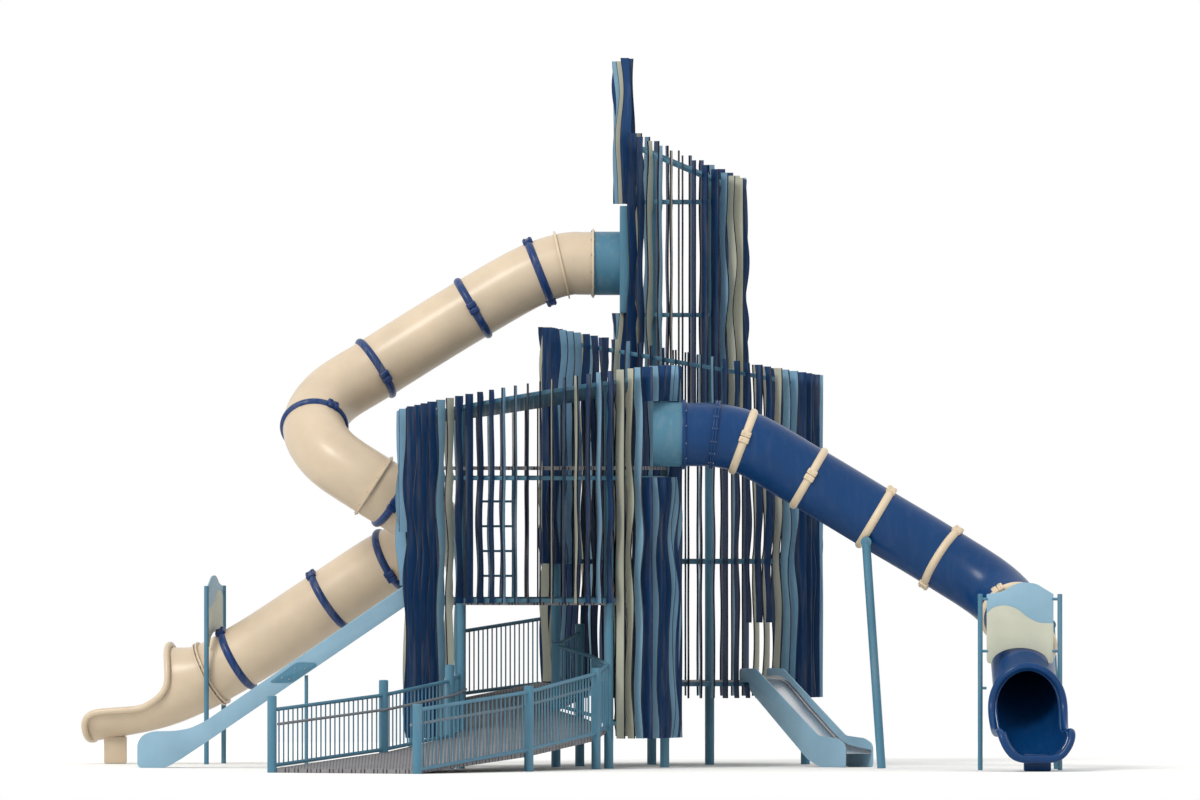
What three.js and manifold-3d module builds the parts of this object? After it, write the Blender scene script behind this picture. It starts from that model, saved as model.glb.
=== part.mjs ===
// Playground play structure: three round board-clad towers, a ramp, two tube slides and two open slides.
// Units are millimetres, +Z is up, +X runs to the right of the entrance side and +Y away from it.
import * as THREE from "three";
import { mergeVertices } from "three/addons/utils/BufferGeometryUtils.js";
import Module from "manifold-3d";

const wasm = await Module();
wasm.setup();

// Driving dimensions
const GAP = 0.4; // clearance between pieces that touch
const POST_DIAMETER = 114;
const POST_SIDES = 10;
const BOARD_THICKNESS = 20;
const BOARD_DEPTH = 164;
const RING_BAR = 50;
const SCREEN_RADIUS = 1766;
const WAVE_DEPTH = 22;
const WAVE_STEP = 1500;
const POST_CIRCLE = SCREEN_RADIUS - BOARD_DEPTH - POST_DIAMETER / 2 - 1 - GAP;

const FRONT_TOWER = {
  x: 0,
  y: 0,
  top: { height: 4649, slopeX: 0.163, slopeY: -0.05 },
  topRingDrop: 138,
  rings: [551, 2058, 3552],
  boardFoot: 367,
  doorHead: 2021,
};
const MID_TOWER = {
  x: 1748,
  y: 3100,
  top: { height: 5114, slopeX: -0.177, slopeY: 0 },
  topRingDrop: 144,
  rings: [1004, 2511, 4018],
  boardFoot: 833,
};
const TALL_TOWER = {
  x: MID_TOWER.x,
  y: MID_TOWER.y,
  radius: 857,
  postOffset: 358,
  top: { height: 7566, slopeX: -0.426, slopeY: 0.036 },
  topRingDrop: 158,
  rings: [4150, 5560, 6958],
  boardFoot: 4040,
  hatchSill: 5586,
  hatchHead: 6935,
  spireTop: 8740,
};

// Where the entrance posts stand: everything is set out from the left one
const ENTRANCE_LEFT_ANGLE = 231.6;
const ENTRANCE_RIGHT_ANGLE = 303.7;

const COLOURS = {
  teal: { color: "#69899b", roughness: 0.45, metalness: 0.1 },
  boards: { color: "#33456b", roughness: 0.55, metalness: 0 },
  paleBoards: { color: "#7da0b4", roughness: 0.55, metalness: 0 },
  deck: { color: "#82828a", roughness: 0.8, metalness: 0 },
  blue: { color: "#1c4a80", roughness: 0.3, metalness: 0 },
  beige: { color: "#d9c8ac", roughness: 0.35, metalness: 0 },
  steel: { color: "#b8bcc0", roughness: 0.3, metalness: 0.9 },
};

const structure = new THREE.Group();
const site = new THREE.Group();
structure.add(site);

const radians = THREE.MathUtils.degToRad;

// Solids: closed three.js geometries joined with manifold-3d

function solid(geometry) {
  const bare = geometry.clone();
  bare.deleteAttribute("normal");
  bare.deleteAttribute("uv");
  const merged = mergeVertices(bare, 1e-3);
  return new wasm.Manifold(
    new wasm.Mesh({
      numProp: 3,
      vertProperties: merged.attributes.position.array,
      triVerts: new Uint32Array(merged.index.array),
    }),
  );
}

function join(geometries) {
  return wasm.Manifold.union(geometries.map(solid));
}

function toGeometry(manifold) {
  const mesh = manifold.getMesh();
  const geometry = new THREE.BufferGeometry();
  geometry.setAttribute("position", new THREE.BufferAttribute(mesh.vertProperties, 3));
  geometry.setIndex(new THREE.BufferAttribute(mesh.triVerts, 1));
  return geometry;
}

function addPiece(name, geometry, colour) {
  const shape = geometry.isBufferGeometry ? geometry : toGeometry(geometry);
  const mesh = new THREE.Mesh(shape, new THREE.MeshStandardMaterial(COLOURS[colour]));
  mesh.name = name;
  site.add(mesh);
  return mesh;
}

// Basic shapes

function box(x0, x1, y0, y1, z0, z1) {
  const geometry = new THREE.BoxGeometry(x1 - x0, y1 - y0, z1 - z0);
  return geometry.translate((x0 + x1) / 2, (y0 + y1) / 2, (z0 + z1) / 2);
}

function upright(x, y, z0, z1, diameter, sides = POST_SIDES) {
  const geometry = new THREE.CylinderGeometry(diameter / 2, diameter / 2, z1 - z0, sides);
  return geometry.rotateX(Math.PI / 2).translate(x, y, (z0 + z1) / 2);
}

function bar(from, to, width, sides = 4) {
  const a = new THREE.Vector3(...from);
  const b = new THREE.Vector3(...to);
  const length = a.distanceTo(b);
  const radius = sides === 4 ? width / Math.SQRT2 : width / 2;
  const geometry = new THREE.CylinderGeometry(radius, radius, length, sides);
  if (sides === 4) geometry.rotateY(Math.PI / 4);
  const turn = new THREE.Quaternion();
  turn.setFromUnitVectors(new THREE.Vector3(0, 1, 0), b.clone().sub(a).normalize());
  geometry.applyQuaternion(turn);
  const middle = a.add(b).multiplyScalar(0.5);
  return geometry.translate(middle.x, middle.y, middle.z);
}

// A flat outline in the X-Z plane, extruded along Y from y0 to y1
function plateXZ(outline, y0, y1) {
  const shape = new THREE.Shape(outline.map(([x, z]) => new THREE.Vector2(x, z)));
  const geometry = new THREE.ExtrudeGeometry(shape, { depth: y1 - y0, bevelEnabled: false });
  return geometry.rotateX(Math.PI / 2).translate(0, y1, 0);
}

// A ruled strip between two edges that run side by side, with its thickness below
function strip(left, right, thickness) {
  const count = left.length;
  const vertices = [];
  for (const drop of [0, thickness]) {
    for (let i = 0; i < count; i += 1) {
      vertices.push(left[i][0], left[i][1], left[i][2] - drop);
      vertices.push(right[i][0], right[i][1], right[i][2] - drop);
    }
  }
  const below = 2 * count;
  const faces = [];
  const quad = (a, b, c, d) => faces.push(a, b, c, a, c, d);
  for (let i = 0; i < count - 1; i += 1) {
    const l = 2 * i;
    const r = l + 1;
    quad(l, r, r + 2, l + 2);
    quad(l + below, l + 2 + below, r + 2 + below, r + below);
    quad(r, r + below, r + 2 + below, r + 2);
    quad(l, l + 2, l + 2 + below, l + below);
  }
  const last = 2 * (count - 1);
  quad(0, below, below + 1, 1);
  quad(last, last + 1, last + 1 + below, last + below);
  const geometry = new THREE.BufferGeometry();
  geometry.setAttribute("position", new THREE.Float32BufferAttribute(vertices, 3));
  geometry.setIndex(faces);
  return geometry;
}

// Shears a shape upwards, so that a level ring lies in a sloping plane
function tilt(geometry, plane) {
  const shear = new THREE.Matrix4();
  shear.elements[2] = plane.slopeX;
  shear.elements[6] = plane.slopeY;
  return geometry.applyMatrix4(shear);
}

// A level arc of square bar about the Z axis, angles in degrees
function ringArc(innerRadius, width, height, z, from, to, step) {
  const segments = Math.max(2, Math.round((to - from) / step));
  const point = (radius, i) => {
    const angle = radians(from + ((to - from) * i) / segments);
    return new THREE.Vector2(radius * Math.cos(angle), radius * Math.sin(angle));
  };
  const outline = [];
  for (let i = 0; i <= segments; i += 1) outline.push(point(innerRadius + width, i));
  for (let i = segments; i >= 0; i -= 1) outline.push(point(innerRadius, i));
  const shape = new THREE.Shape(outline);
  const geometry = new THREE.ExtrudeGeometry(shape, { depth: height, bevelEnabled: false });
  return geometry.translate(0, 0, z - height / 2);
}

// One radial board with a gently waving outer edge
function board(outerRadius, angle, foot, head, phase) {
  const inner = outerRadius - BOARD_DEPTH;
  const turns = Math.max(1, Math.round((head - foot) / WAVE_STEP));
  const outline = [new THREE.Vector2(inner, foot)];
  for (let i = 0; i <= turns; i += 1) {
    const z = foot + ((head - foot) * i) / turns;
    const wave = (WAVE_DEPTH / 2) * (Math.sin(phase + z / 420) - 1);
    outline.push(new THREE.Vector2(outerRadius + wave, z));
  }
  outline.push(new THREE.Vector2(inner, head));
  const options = { depth: BOARD_THICKNESS, bevelEnabled: false };
  const geometry = new THREE.ExtrudeGeometry(new THREE.Shape(outline), options);
  geometry.translate(0, 0, -BOARD_THICKNESS / 2).rotateX(Math.PI / 2);
  return geometry.rotateZ(radians(angle));
}

function planeHeight(plane, radius, angle) {
  const x = radius * Math.cos(radians(angle));
  const y = radius * Math.sin(radians(angle));
  return plane.height + plane.slopeX * x + plane.slopeY * y;
}

// A sector of radial boards, joined by the ring bars that carry them
function screen(tower, radius, from, to, count, options = {}) {
  const { foot = tower.boardFoot, head = null, rings = tower.rings, sloped = true } = options;
  const innerRadius = radius - BOARD_DEPTH - 1;
  const pitch = (to - from) / count;
  const parts = [];
  for (let i = 0; i < count; i += 1) {
    const angle = from + pitch * (i + 0.5);
    const plain = planeHeight(tower.top, radius - BOARD_DEPTH / 2, angle);
    const top = head ? head(angle, plain) : plain;
    parts.push(board(radius, angle, foot, top, angle * 1.7));
  }
  const margin = THREE.MathUtils.radToDeg(GAP / 2 / innerRadius);
  for (const z of rings) {
    parts.push(ringArc(innerRadius, RING_BAR, RING_BAR, z, from + margin, to - margin, pitch));
  }
  if (sloped) {
    const height = tower.top.height - tower.topRingDrop;
    const ring = ringArc(innerRadius, RING_BAR, RING_BAR, height, from + margin, to - margin, pitch);
    parts.push(tilt(ring, tower.top));
  }
  return join(parts).translate([tower.x, tower.y, 0]);
}

// A level plate, round in plan, cut clear of the posts that pass through it
function roundDeck(tower, radius, top, thickness, sides, cutters) {
  const plate = upright(tower.x, tower.y, top - thickness, top, 2 * radius, sides);
  return wasm.Manifold.difference([solid(plate), ...cutters]);
}

// A post turned so that one of its corners points to the given angle
function turnedPost(x, y, height, angle, clearance = 0) {
  const post = upright(0, 0, clearance ? -100 : 0, height, POST_DIAMETER + 2 * clearance);
  return post.rotateZ(radians(angle - 270)).translate(x, y, 0);
}

function postCutter(x, y, angle) {
  return solid(turnedPost(x, y, 9000, angle, GAP));
}

// Tubes for sliding through: a ring section drawn along a curve
const SLIDE_OUTER = 389;
const SLIDE_WALL = 8;
const SLIDE_FACETS = 12;
const COLLAR_HEIGHT = 36;
const COLLAR_WIDTH = 60;
const MIN_STATION = 40;

class PartOfCurve extends THREE.Curve {
  constructor(curve, from, to) {
    super();
    Object.assign(this, { curve, from, to });
  }
  getPoint(t) {
    return this.curve.getPointAt(this.from + (this.to - this.from) * t);
  }
}

function sleeve(curve, from, to, steps, outer, wall) {
  const section = new THREE.Shape();
  section.absarc(0, 0, outer, 0, 2 * Math.PI, false);
  const bore = new THREE.Path();
  bore.absarc(0, 0, outer - wall, 0, 2 * Math.PI, true);
  section.holes.push(bore);
  const extrudePath = new PartOfCurve(curve, from, to);
  const options = { steps, curveSegments: SLIDE_FACETS / 2, bevelEnabled: false, extrudePath };
  return new THREE.ExtrudeGeometry(section, options);
}

// A ring of points square to a curve, with the first point level with its centre
function ringOfPoints(curve, t, radius) {
  const centre = curve.getPointAt(t);
  const ahead = curve.getTangentAt(t);
  const side = new THREE.Vector3(ahead.y, -ahead.x, 0).normalize();
  const up = new THREE.Vector3().crossVectors(side, ahead);
  const points = [];
  for (let k = 0; k < SLIDE_FACETS; k += 1) {
    const angle = (2 * Math.PI * k) / SLIDE_FACETS;
    const point = centre.clone().addScaledVector(side, radius * Math.cos(angle));
    points.push(point.addScaledVector(up, radius * Math.sin(angle)));
  }
  return points;
}

// A closed skin over a list of rings, the last of which joins the first. The rings from the
// given one on come back up the bore: their faces are split like those outside them, so that
// the wall keeps its thickness where the slide twists
function ringSkin(rings, back) {
  const vertices = rings.flat().flatMap((point) => [point.x, point.y, point.z]);
  const faces = [];
  for (let i = 0; i < rings.length; i += 1) {
    const a = i * SLIDE_FACETS;
    const b = ((i + 1) % rings.length) * SLIDE_FACETS;
    for (let k = 0; k < SLIDE_FACETS; k += 1) {
      const next = (k + 1) % SLIDE_FACETS;
      if (i < back) faces.push(a + k, b + next, b + k, a + k, a + next, b + next);
      else faces.push(a + k, a + next, b + k, a + next, b + next, b + k);
    }
  }
  const geometry = new THREE.BufferGeometry();
  geometry.setAttribute("position", new THREE.Float32BufferAttribute(vertices, 3));
  geometry.setIndex(faces);
  return geometry;
}

// Stations along one moulded length of tube slide: its plain outside, stepped up at the collars
function sectionStations(curve, from, to, steps, collars, clearance = 0) {
  const length = curve.getLength();
  const seam = GAP / 2 / length;
  const start = from + seam;
  const end = to - seam;
  const half = (COLLAR_WIDTH / 2 + clearance) / length;
  const plain = SLIDE_OUTER + clearance;
  let stations = [];
  for (let i = 0; i <= steps; i += 1) {
    stations.push({ t: start + ((end - start) * i) / steps, radius: plain });
  }
  for (const at of collars) {
    const low = Math.max(at - half, start);
    const high = Math.min(at + half, end);
    const collar = [
      { t: low, radius: plain + COLLAR_HEIGHT },
      { t: high, radius: plain + COLLAR_HEIGHT },
    ];
    if (low > start) collar.unshift({ t: low, radius: plain });
    if (high < end) collar.push({ t: high, radius: plain });
    const room = MIN_STATION / length;
    const before = stations.filter(({ t }) => t < low - room || (t < low && t === start));
    const after = stations.filter(({ t }) => t > high + room || (t > high && t === end));
    stations = [...before, ...collar, ...after];
  }
  return { stations, start, end };
}

function skinOver(curve, stations, back = stations.length) {
  const skin = ringSkin(stations.map(({ t, radius }) => ringOfPoints(curve, t, radius)), back);
  return solid(skin).volume() < 0 ? flipped(skin) : skin;
}

function slideSection({ curve, from, to, steps, collars }) {
  const { stations } = sectionStations(curve, from, to, steps, collars);
  const shares = [...new Set(stations.map(({ t }) => t))].reverse();
  const bore = shares.map((t) => ({ t, radius: SLIDE_OUTER - SLIDE_WALL }));
  return skinOver(curve, [...stations, ...bore], stations.length);
}

// The same length without its bore, a little larger, for seating what carries it
function slideEnvelope({ curve, from, to, steps, collars }) {
  const { stations, start, end } = sectionStations(curve, from, to, steps, collars, GAP);
  const needle = 1;
  return solid(skinOver(curve, [{ t: start, radius: needle }, ...stations, { t: end, radius: needle }]));
}

function curveThrough(points) {
  return new THREE.CatmullRomCurve3(points.map((p) => new THREE.Vector3(...p)), false, "centripetal");
}

// Where a curve passes nearest to a given point, as a share of its length
function shareNear(curve, point) {
  const target = new THREE.Vector3(...point);
  let best = 0;
  for (let i = 0; i <= 1000; i += 1) {
    if (curve.getPointAt(i / 1000).distanceTo(target) < curve.getPointAt(best).distanceTo(target)) {
      best = i / 1000;
    }
  }
  return best;
}

// Railings: posts, two rails and upright pickets, welded as one frame
const RAIL_TUBE = 46;
const PICKET = 18;
const PICKET_PITCH = 300;

function railing(stations, posts) {
  const parts = posts.map(([x, y, top]) => upright(x, y, 0, top, POST_DIAMETER));
  for (let i = 0; i < stations.length - 1; i += 1) {
    const a = stations[i];
    const b = stations[i + 1];
    parts.push(bar([a.x, a.y, a.low], [b.x, b.y, b.low], RAIL_TUBE));
    parts.push(bar([a.x, a.y, a.high], [b.x, b.y, b.high], RAIL_TUBE));
    const length = Math.hypot(b.x - a.x, b.y - a.y);
    const count = Math.floor((length - POST_DIAMETER) / PICKET_PITCH);
    for (let k = 1; k <= count; k += 1) {
      const t = k / (count + 1);
      const x = a.x + (b.x - a.x) * t;
      const y = a.y + (b.y - a.y) * t;
      const low = a.low + (b.low - a.low) * t;
      const high = a.high + (b.high - a.high) * t;
      const half = PICKET / 2;
      parts.push(box(x - half, x + half, y - half, y + half, low, high));
    }
  }
  return join(parts);
}

// Front tower
const frontPostAngles = {
  entrance_left: ENTRANCE_LEFT_ANGLE,
  entrance_right: ENTRANCE_RIGHT_ANGLE,
  right: 360,
  back_right: 416.3,
  back_left: 488.4,
  left: 540,
};
const FRONT_DECK_TOP = 3691.5;
const FRONT_LANDING_TOP = 2040;
const DECK_THICKNESS = 40;
const DECK_RADIUS = 1578;

const frontPosts = Object.entries(frontPostAngles).map(([name, angle]) => ({
  name,
  angle,
  x: POST_CIRCLE * Math.cos(radians(angle)),
  y: POST_CIRCLE * Math.sin(radians(angle)),
}));

for (const post of frontPosts) {
  const height = planeHeight(FRONT_TOWER.top, POST_CIRCLE, post.angle) - FRONT_TOWER.topRingDrop;
  const shape = turnedPost(post.x, post.y, height, post.angle);
  addPiece(`front_tower_post_${post.name}`, shape, "teal");
}
const frontCutters = frontPosts.map((post) => postCutter(post.x, post.y, post.angle));

// Screens between the posts; the two over the ramp stop at the door head
const doorOptions = { foot: FRONT_TOWER.doorHead, rings: FRONT_TOWER.rings.slice(1) };
const frontScreens = [
  ["front_tower_screen_over_entrance", ENTRANCE_LEFT_ANGLE, ENTRANCE_RIGHT_ANGLE, 4, doorOptions],
  ["front_tower_screen_right_front", ENTRANCE_RIGHT_ANGLE, 360, 3, {}],
  ["front_tower_screen_right_back", 360, 416.3, 3, {}],
  ["front_tower_screen_over_back_exit", 416.3, 488.4, 4, doorOptions],
  ["front_tower_screen_left_back", 488.4, 540, 3, {}],
  ["front_tower_screen_left_front", 180, ENTRANCE_LEFT_ANGLE, 3, {}],
];
const tubeHatch = solid(box(1300, 1900, -1135, -265, 3640, 4490));
const slideHatch = solid(box(-1900, -1500, -505, 10, 1560, 2890));
for (const [name, from, to, count, options] of frontScreens) {
  let body = screen(FRONT_TOWER, SCREEN_RADIUS, from, to, count, options);
  if (name.endsWith("right_front")) body = body.subtract(tubeHatch);
  if (name.endsWith("left_front")) body = body.subtract(slideHatch);
  addPiece(name, body, "boards");
}
addPiece(
  "front_tower_upper_deck",
  roundDeck(FRONT_TOWER, DECK_RADIUS, FRONT_DECK_TOP, DECK_THICKNESS, 24, frontCutters),
  "deck",
);
addPiece(
  "front_tower_landing",
  roundDeck(FRONT_TOWER, DECK_RADIUS, FRONT_LANDING_TOP, DECK_THICKNESS, 24, frontCutters),
  "deck",
);

// The perforated lid that closes the front tower, in the plane of its sloping ring
const LID_THICKNESS = 12;
const lidHeight = FRONT_TOWER.top.height - FRONT_TOWER.topRingDrop;
const lidDisc = upright(0, 0, lidHeight - 20, lidHeight - 20 + LID_THICKNESS, 2 * DECK_RADIUS, 24);
addPiece(
  "front_tower_lid",
  wasm.Manifold.difference([solid(tilt(lidDisc, FRONT_TOWER.top)), ...frontCutters]),
  "teal",
);

// Ladder from the landing to the upper deck, at the left side of the front tower
const LADDER_X = -525;
const LADDER_Y = 640;
const RUNG_PITCH = 305;
const LADDER_WIDTH = 420;
function ladder() {
  const foot = FRONT_LANDING_TOP + GAP;
  const head = FRONT_DECK_TOP - DECK_THICKNESS - GAP;
  const parts = [];
  for (const side of [-1, 1]) {
    parts.push(upright(LADDER_X + (side * LADDER_WIDTH) / 2, LADDER_Y, foot, head, 42, 6));
  }
  for (let z = foot + RUNG_PITCH; z < head - 60; z += RUNG_PITCH) {
    const reach = LADDER_WIDTH / 2;
    parts.push(bar([LADDER_X - reach, LADDER_Y, z], [LADDER_X + reach, LADDER_Y, z], 30));
  }
  return join(parts);
}
addPiece("front_tower_ladder", ladder(), "teal");

// Mid tower, with two posts of its own and the four posts of the tall tower through it
const MID_DECK_TOP = MID_TOWER.rings[0] + RING_BAR / 2 + 1;
const midPosts = [
  { name: "left", angle: 180 },
  { name: "right", angle: 360 },
];
for (const post of midPosts) {
  post.x = MID_TOWER.x + POST_CIRCLE * Math.cos(radians(post.angle));
  post.y = MID_TOWER.y + POST_CIRCLE * Math.sin(radians(post.angle));
  const height = planeHeight(MID_TOWER.top, POST_CIRCLE, post.angle) - MID_TOWER.topRingDrop;
  addPiece(`mid_tower_post_${post.name}`, turnedPost(post.x, post.y, height, post.angle), "teal");
}
const tallPosts = [];
for (const sideX of [-1, 1]) {
  for (const sideY of [-1, 1]) {
    const x = TALL_TOWER.x + sideX * TALL_TOWER.postOffset;
    const y = TALL_TOWER.y + sideY * TALL_TOWER.postOffset;
    const name = `${sideX < 0 ? "left" : "right"}_${sideY < 0 ? "front" : "back"}`;
    const rise = TALL_TOWER.top.slopeX * sideX * TALL_TOWER.postOffset;
    tallPosts.push({ name, x, y, height: TALL_TOWER.top.height + rise - TALL_TOWER.topRingDrop });
  }
}
for (const post of tallPosts) {
  addPiece(`tall_tower_post_${post.name}`, turnedPost(post.x, post.y, post.height, 270), "teal");
}
const midCutters = [
  ...midPosts.map((post) => postCutter(post.x, post.y, post.angle)),
  ...tallPosts.map((post) => postCutter(post.x, post.y, 270)),
];

// A box that lies along a radius of a tower, for an opening in its screen
function radialCut(tower, angle, width, z0, z1) {
  const cut = box(1400, 1900, -width / 2, width / 2, z0, z1).rotateZ(radians(angle));
  return solid(cut.translate(tower.x, tower.y, 0));
}
const RAMP_DOOR_ANGLE = 206;
const METAL_SLIDE_ANGLE = 305;
const METAL_SLIDE_WIDTH = 430;
const midOpenings = {
  left_front: radialCut(MID_TOWER, RAMP_DOOR_ANGLE, 1130, MID_DECK_TOP, 2484),
  right_front: radialCut(MID_TOWER, METAL_SLIDE_ANGLE, METAL_SLIDE_WIDTH + 80, MID_DECK_TOP, 1764),
};
const midScreens = [
  ["left_front", 180, 270],
  ["right_front", 270, 360],
  ["right_back", 0, 90],
  ["left_back", 90, 180],
];
for (const [name, from, to] of midScreens) {
  const body = screen(MID_TOWER, SCREEN_RADIUS, from, to, 5);
  const opening = midOpenings[name];
  addPiece(`mid_tower_screen_${name}`, opening ? body.subtract(opening) : body, "boards");
}
const MID_DECK_RADIUS = 1580.8;
addPiece(
  "mid_tower_deck",
  roundDeck(MID_TOWER, MID_DECK_RADIUS, MID_DECK_TOP, DECK_THICKNESS, 40, midCutters),
  "deck",
);

// Tall tower: its left side holds the slide portal with the spire above it
const PORTAL_HALF_ANGLE = 38;
const SPIRE_HALF_ANGLE = 39;
const TALL_PITCH = 18;
const spireHead = (angle, plain) =>
  Math.abs(angle - 180) < SPIRE_HALF_ANGLE ? TALL_TOWER.spireTop : plain;
const sillRings = { rings: TALL_TOWER.rings.slice(0, 2), sloped: false };
const leftFrom = 180 - PORTAL_HALF_ANGLE;
const leftTo = 180 + PORTAL_HALF_ANGLE;
const third = (360 - 2 * PORTAL_HALF_ANGLE) / 3;
const tallScreens = [
  ["tall_tower_screen_front", leftTo, leftTo + third, {}],
  ["tall_tower_screen_right", leftTo + third, leftTo + 2 * third, {}],
  ["tall_tower_screen_back", leftTo + 2 * third, leftTo + 3 * third, {}],
  ["tall_tower_spire", leftFrom, leftTo,
    { foot: TALL_TOWER.hatchHead, head: spireHead, rings: TALL_TOWER.rings.slice(2) }],
  ["tall_tower_screen_below_slide", leftFrom, leftTo,
    { head: () => TALL_TOWER.hatchSill - 2, ...sillRings }],
];
for (const [name, from, to, options] of tallScreens) {
  const count = Math.round((to - from) / TALL_PITCH);
  addPiece(name, screen(TALL_TOWER, TALL_TOWER.radius, from, to, count, options), "boards");
}
const tallCutters = tallPosts.map((post) => postCutter(post.x, post.y, 270));
const TALL_DECK_RADIUS = 682;
addPiece(
  "tall_tower_deck",
  roundDeck(TALL_TOWER, TALL_DECK_RADIUS, TALL_TOWER.rings[1], DECK_THICKNESS / 2, 40, tallCutters),
  "deck",
);

// A half-open run-out trough: the lower part of a tube section, lofted along a curve
const TROUGH_FACETS = 8;
function trough(curve, from, to, steps) {
  const vertices = [];
  for (let i = 0; i <= steps; i += 1) {
    const t = from + ((to - from) * i) / steps;
    const centre = curve.getPointAt(t);
    const ahead = curve.getTangentAt(t);
    const side = new THREE.Vector3(ahead.y, -ahead.x, 0).normalize();
    const up = new THREE.Vector3().crossVectors(side, ahead);
    for (const radius of [SLIDE_OUTER, SLIDE_OUTER - 3 * SLIDE_WALL]) {
      for (let k = 0; k <= TROUGH_FACETS; k += 1) {
        const angle = Math.PI + (Math.PI * k) / TROUGH_FACETS;
        const point = centre.clone().addScaledVector(side, radius * Math.cos(angle));
        point.addScaledVector(up, radius * Math.sin(angle));
        vertices.push(point.x, point.y, point.z);
      }
    }
  }
  const row = TROUGH_FACETS + 1;
  const ring = 2 * row;
  const faces = [];
  const quad = (a, b, c, d) => faces.push(a, b, c, a, c, d);
  for (let i = 0; i < steps; i += 1) {
    const a = i * ring;
    const b = a + ring;
    for (let k = 0; k < TROUGH_FACETS; k += 1) {
      quad(a + k, b + k, b + k + 1, a + k + 1);
      quad(a + row + k, a + row + k + 1, b + row + k + 1, b + row + k);
    }
    quad(a, a + row, b + row, b);
    quad(a + TROUGH_FACETS, b + TROUGH_FACETS, b + row + TROUGH_FACETS, a + row + TROUGH_FACETS);
  }
  const last = steps * ring;
  for (let k = 0; k < TROUGH_FACETS; k += 1) {
    quad(k, k + 1, row + k + 1, row + k);
    quad(last + k, last + row + k, last + row + k + 1, last + k + 1);
  }
  const geometry = new THREE.BufferGeometry();
  geometry.setAttribute("position", new THREE.Float32BufferAttribute(vertices, 3));
  geometry.setIndex(faces);
  const body = solid(geometry);
  return body.volume() < 0 ? solid(flipped(geometry)) : body;
}

function flipped(geometry) {
  const index = geometry.index.array;
  for (let i = 0; i < index.length; i += 3) {
    [index[i + 1], index[i + 2]] = [index[i + 2], index[i + 1]];
  }
  return geometry;
}

// Beige tube slide: one left-hand turn and a half, from the portal down to the left end
const BEIGE_START_Z = 6199;
const beigeCurve = curveThrough([
  [652, 3100, 6199],
  [520, 3100, 6199],
  [380, 3100, 6199],
  [-30, 3100, 6080],
  [-821, 3100, 5645],
  [-2025, 3100, 4900],
  [-2591, 2910, 4530],
  [-2781, 2450, 4180],
  [-2591, 1990, 3830],
  [-2040, 1800, 3450],
  [-1490, 1990, 3110],
  [-1300, 2450, 2880],
  [-1490, 2910, 2700],
  [-1950, 3120, 2460],
  [-2602, 3240, 2033],
  [-3741, 3480, 1300],
  [-4640, 3672, 860],
  [-5660, 3890, 650],
]);
const PORTAL_BORE = 770;
const BEIGE_PORTAL = { x0: 994, x1: 1116, half: 450, sill: 5585.4, head: 6909 };
function beigePortal() {
  const { x0, x1, half, sill, head } = BEIGE_PORTAL;
  const plate = solid(box(x0, x1, MID_TOWER.y - half, MID_TOWER.y + half, sill, head));
  const past = 50;
  const ends = [x0 - past, x1 + past].map((x) => [x, MID_TOWER.y, BEIGE_START_Z]);
  const bore = bar(...ends, PORTAL_BORE, 16);
  return plate.subtract(solid(bore));
}
addPiece("beige_slide_portal", beigePortal(), "teal");

function straightSleeve(from, to) {
  const curve = new THREE.LineCurve3(new THREE.Vector3(...from), new THREE.Vector3(...to));
  return sleeve(curve, 0, 1, 1, SLIDE_OUTER + 4, SLIDE_WALL);
}
const beigeSleeveEnds = [
  [BEIGE_PORTAL.x0 - GAP, MID_TOWER.y, BEIGE_START_Z],
  [652 + GAP, MID_TOWER.y, BEIGE_START_Z],
];
addPiece("beige_slide_sleeve", straightSleeve(...beigeSleeveEnds), "teal");

const beigeShare = (x, y, z) => shareNear(beigeCurve, [x, y, z]);
const beigeJoints = {
  neck: beigeShare(272, 3100, 6193),
  top: beigeShare(-821, 3100, 5645),
  bend: beigeShare(-2025, 3100, 4900),
  half: beigeShare(-2040, 1800, 3450),
  low: beigeShare(-1950, 3120, 2460),
  end: beigeShare(-4640, 3672, 860),
};
const beigeSections = [
  ["beige_slide_neck", 0, beigeJoints.neck, 2, [0.001, beigeJoints.neck]],
  ["beige_slide_entry", beigeJoints.neck, beigeJoints.top, 4, [beigeShare(7, 3100, 6070)]],
  ["beige_slide_upper_bend", beigeJoints.top, beigeJoints.half, 10,
    [beigeJoints.top, beigeJoints.bend, beigeShare(-2781, 2450, 4180)]],
  ["beige_slide_lower_bend", beigeJoints.half, beigeJoints.low, 7, [beigeJoints.half]],
  ["beige_slide_lower_run", beigeJoints.low, beigeJoints.end, 5,
    [beigeJoints.low, beigeShare(-2602, 3240, 2033), beigeShare(-3741, 3480, 1300), beigeJoints.end]],
];
const sections = {};
for (const [name, from, to, steps, collars] of beigeSections) {
  sections[name] = { curve: beigeCurve, from, to, steps, collars };
  addPiece(name, slideSection(sections[name]), "beige");
}

// A filled length of the slide's bore, for cutting what carries the slide to its underside
function core(curve, from, to, steps, radius) {
  const section = new THREE.Shape();
  section.absarc(0, 0, radius, 0, 2 * Math.PI, false);
  const extrudePath = new PartOfCurve(curve, from, to);
  const options = { steps, curveSegments: 8, bevelEnabled: false, extrudePath };
  return solid(new THREE.ExtrudeGeometry(section, options));
}

// The run-out stands on a foot that is shaped to the underside of the trough
function runOut(curve, from, x0, x1, y0, y1) {
  const seam = GAP / curve.getLength();
  const inside = core(curve, from - seam, 1, 5, SLIDE_OUTER - 2 * SLIDE_WALL);
  const foot = solid(box(x0, x1, y0, y1, 0, SLIDE_OUTER)).subtract(inside);
  return trough(curve, from + seam, 1, 4).add(foot);
}
addPiece("beige_slide_run_out", runOut(beigeCurve, beigeJoints.end, -5400, -5118, 3730, 3890), "beige");

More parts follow.
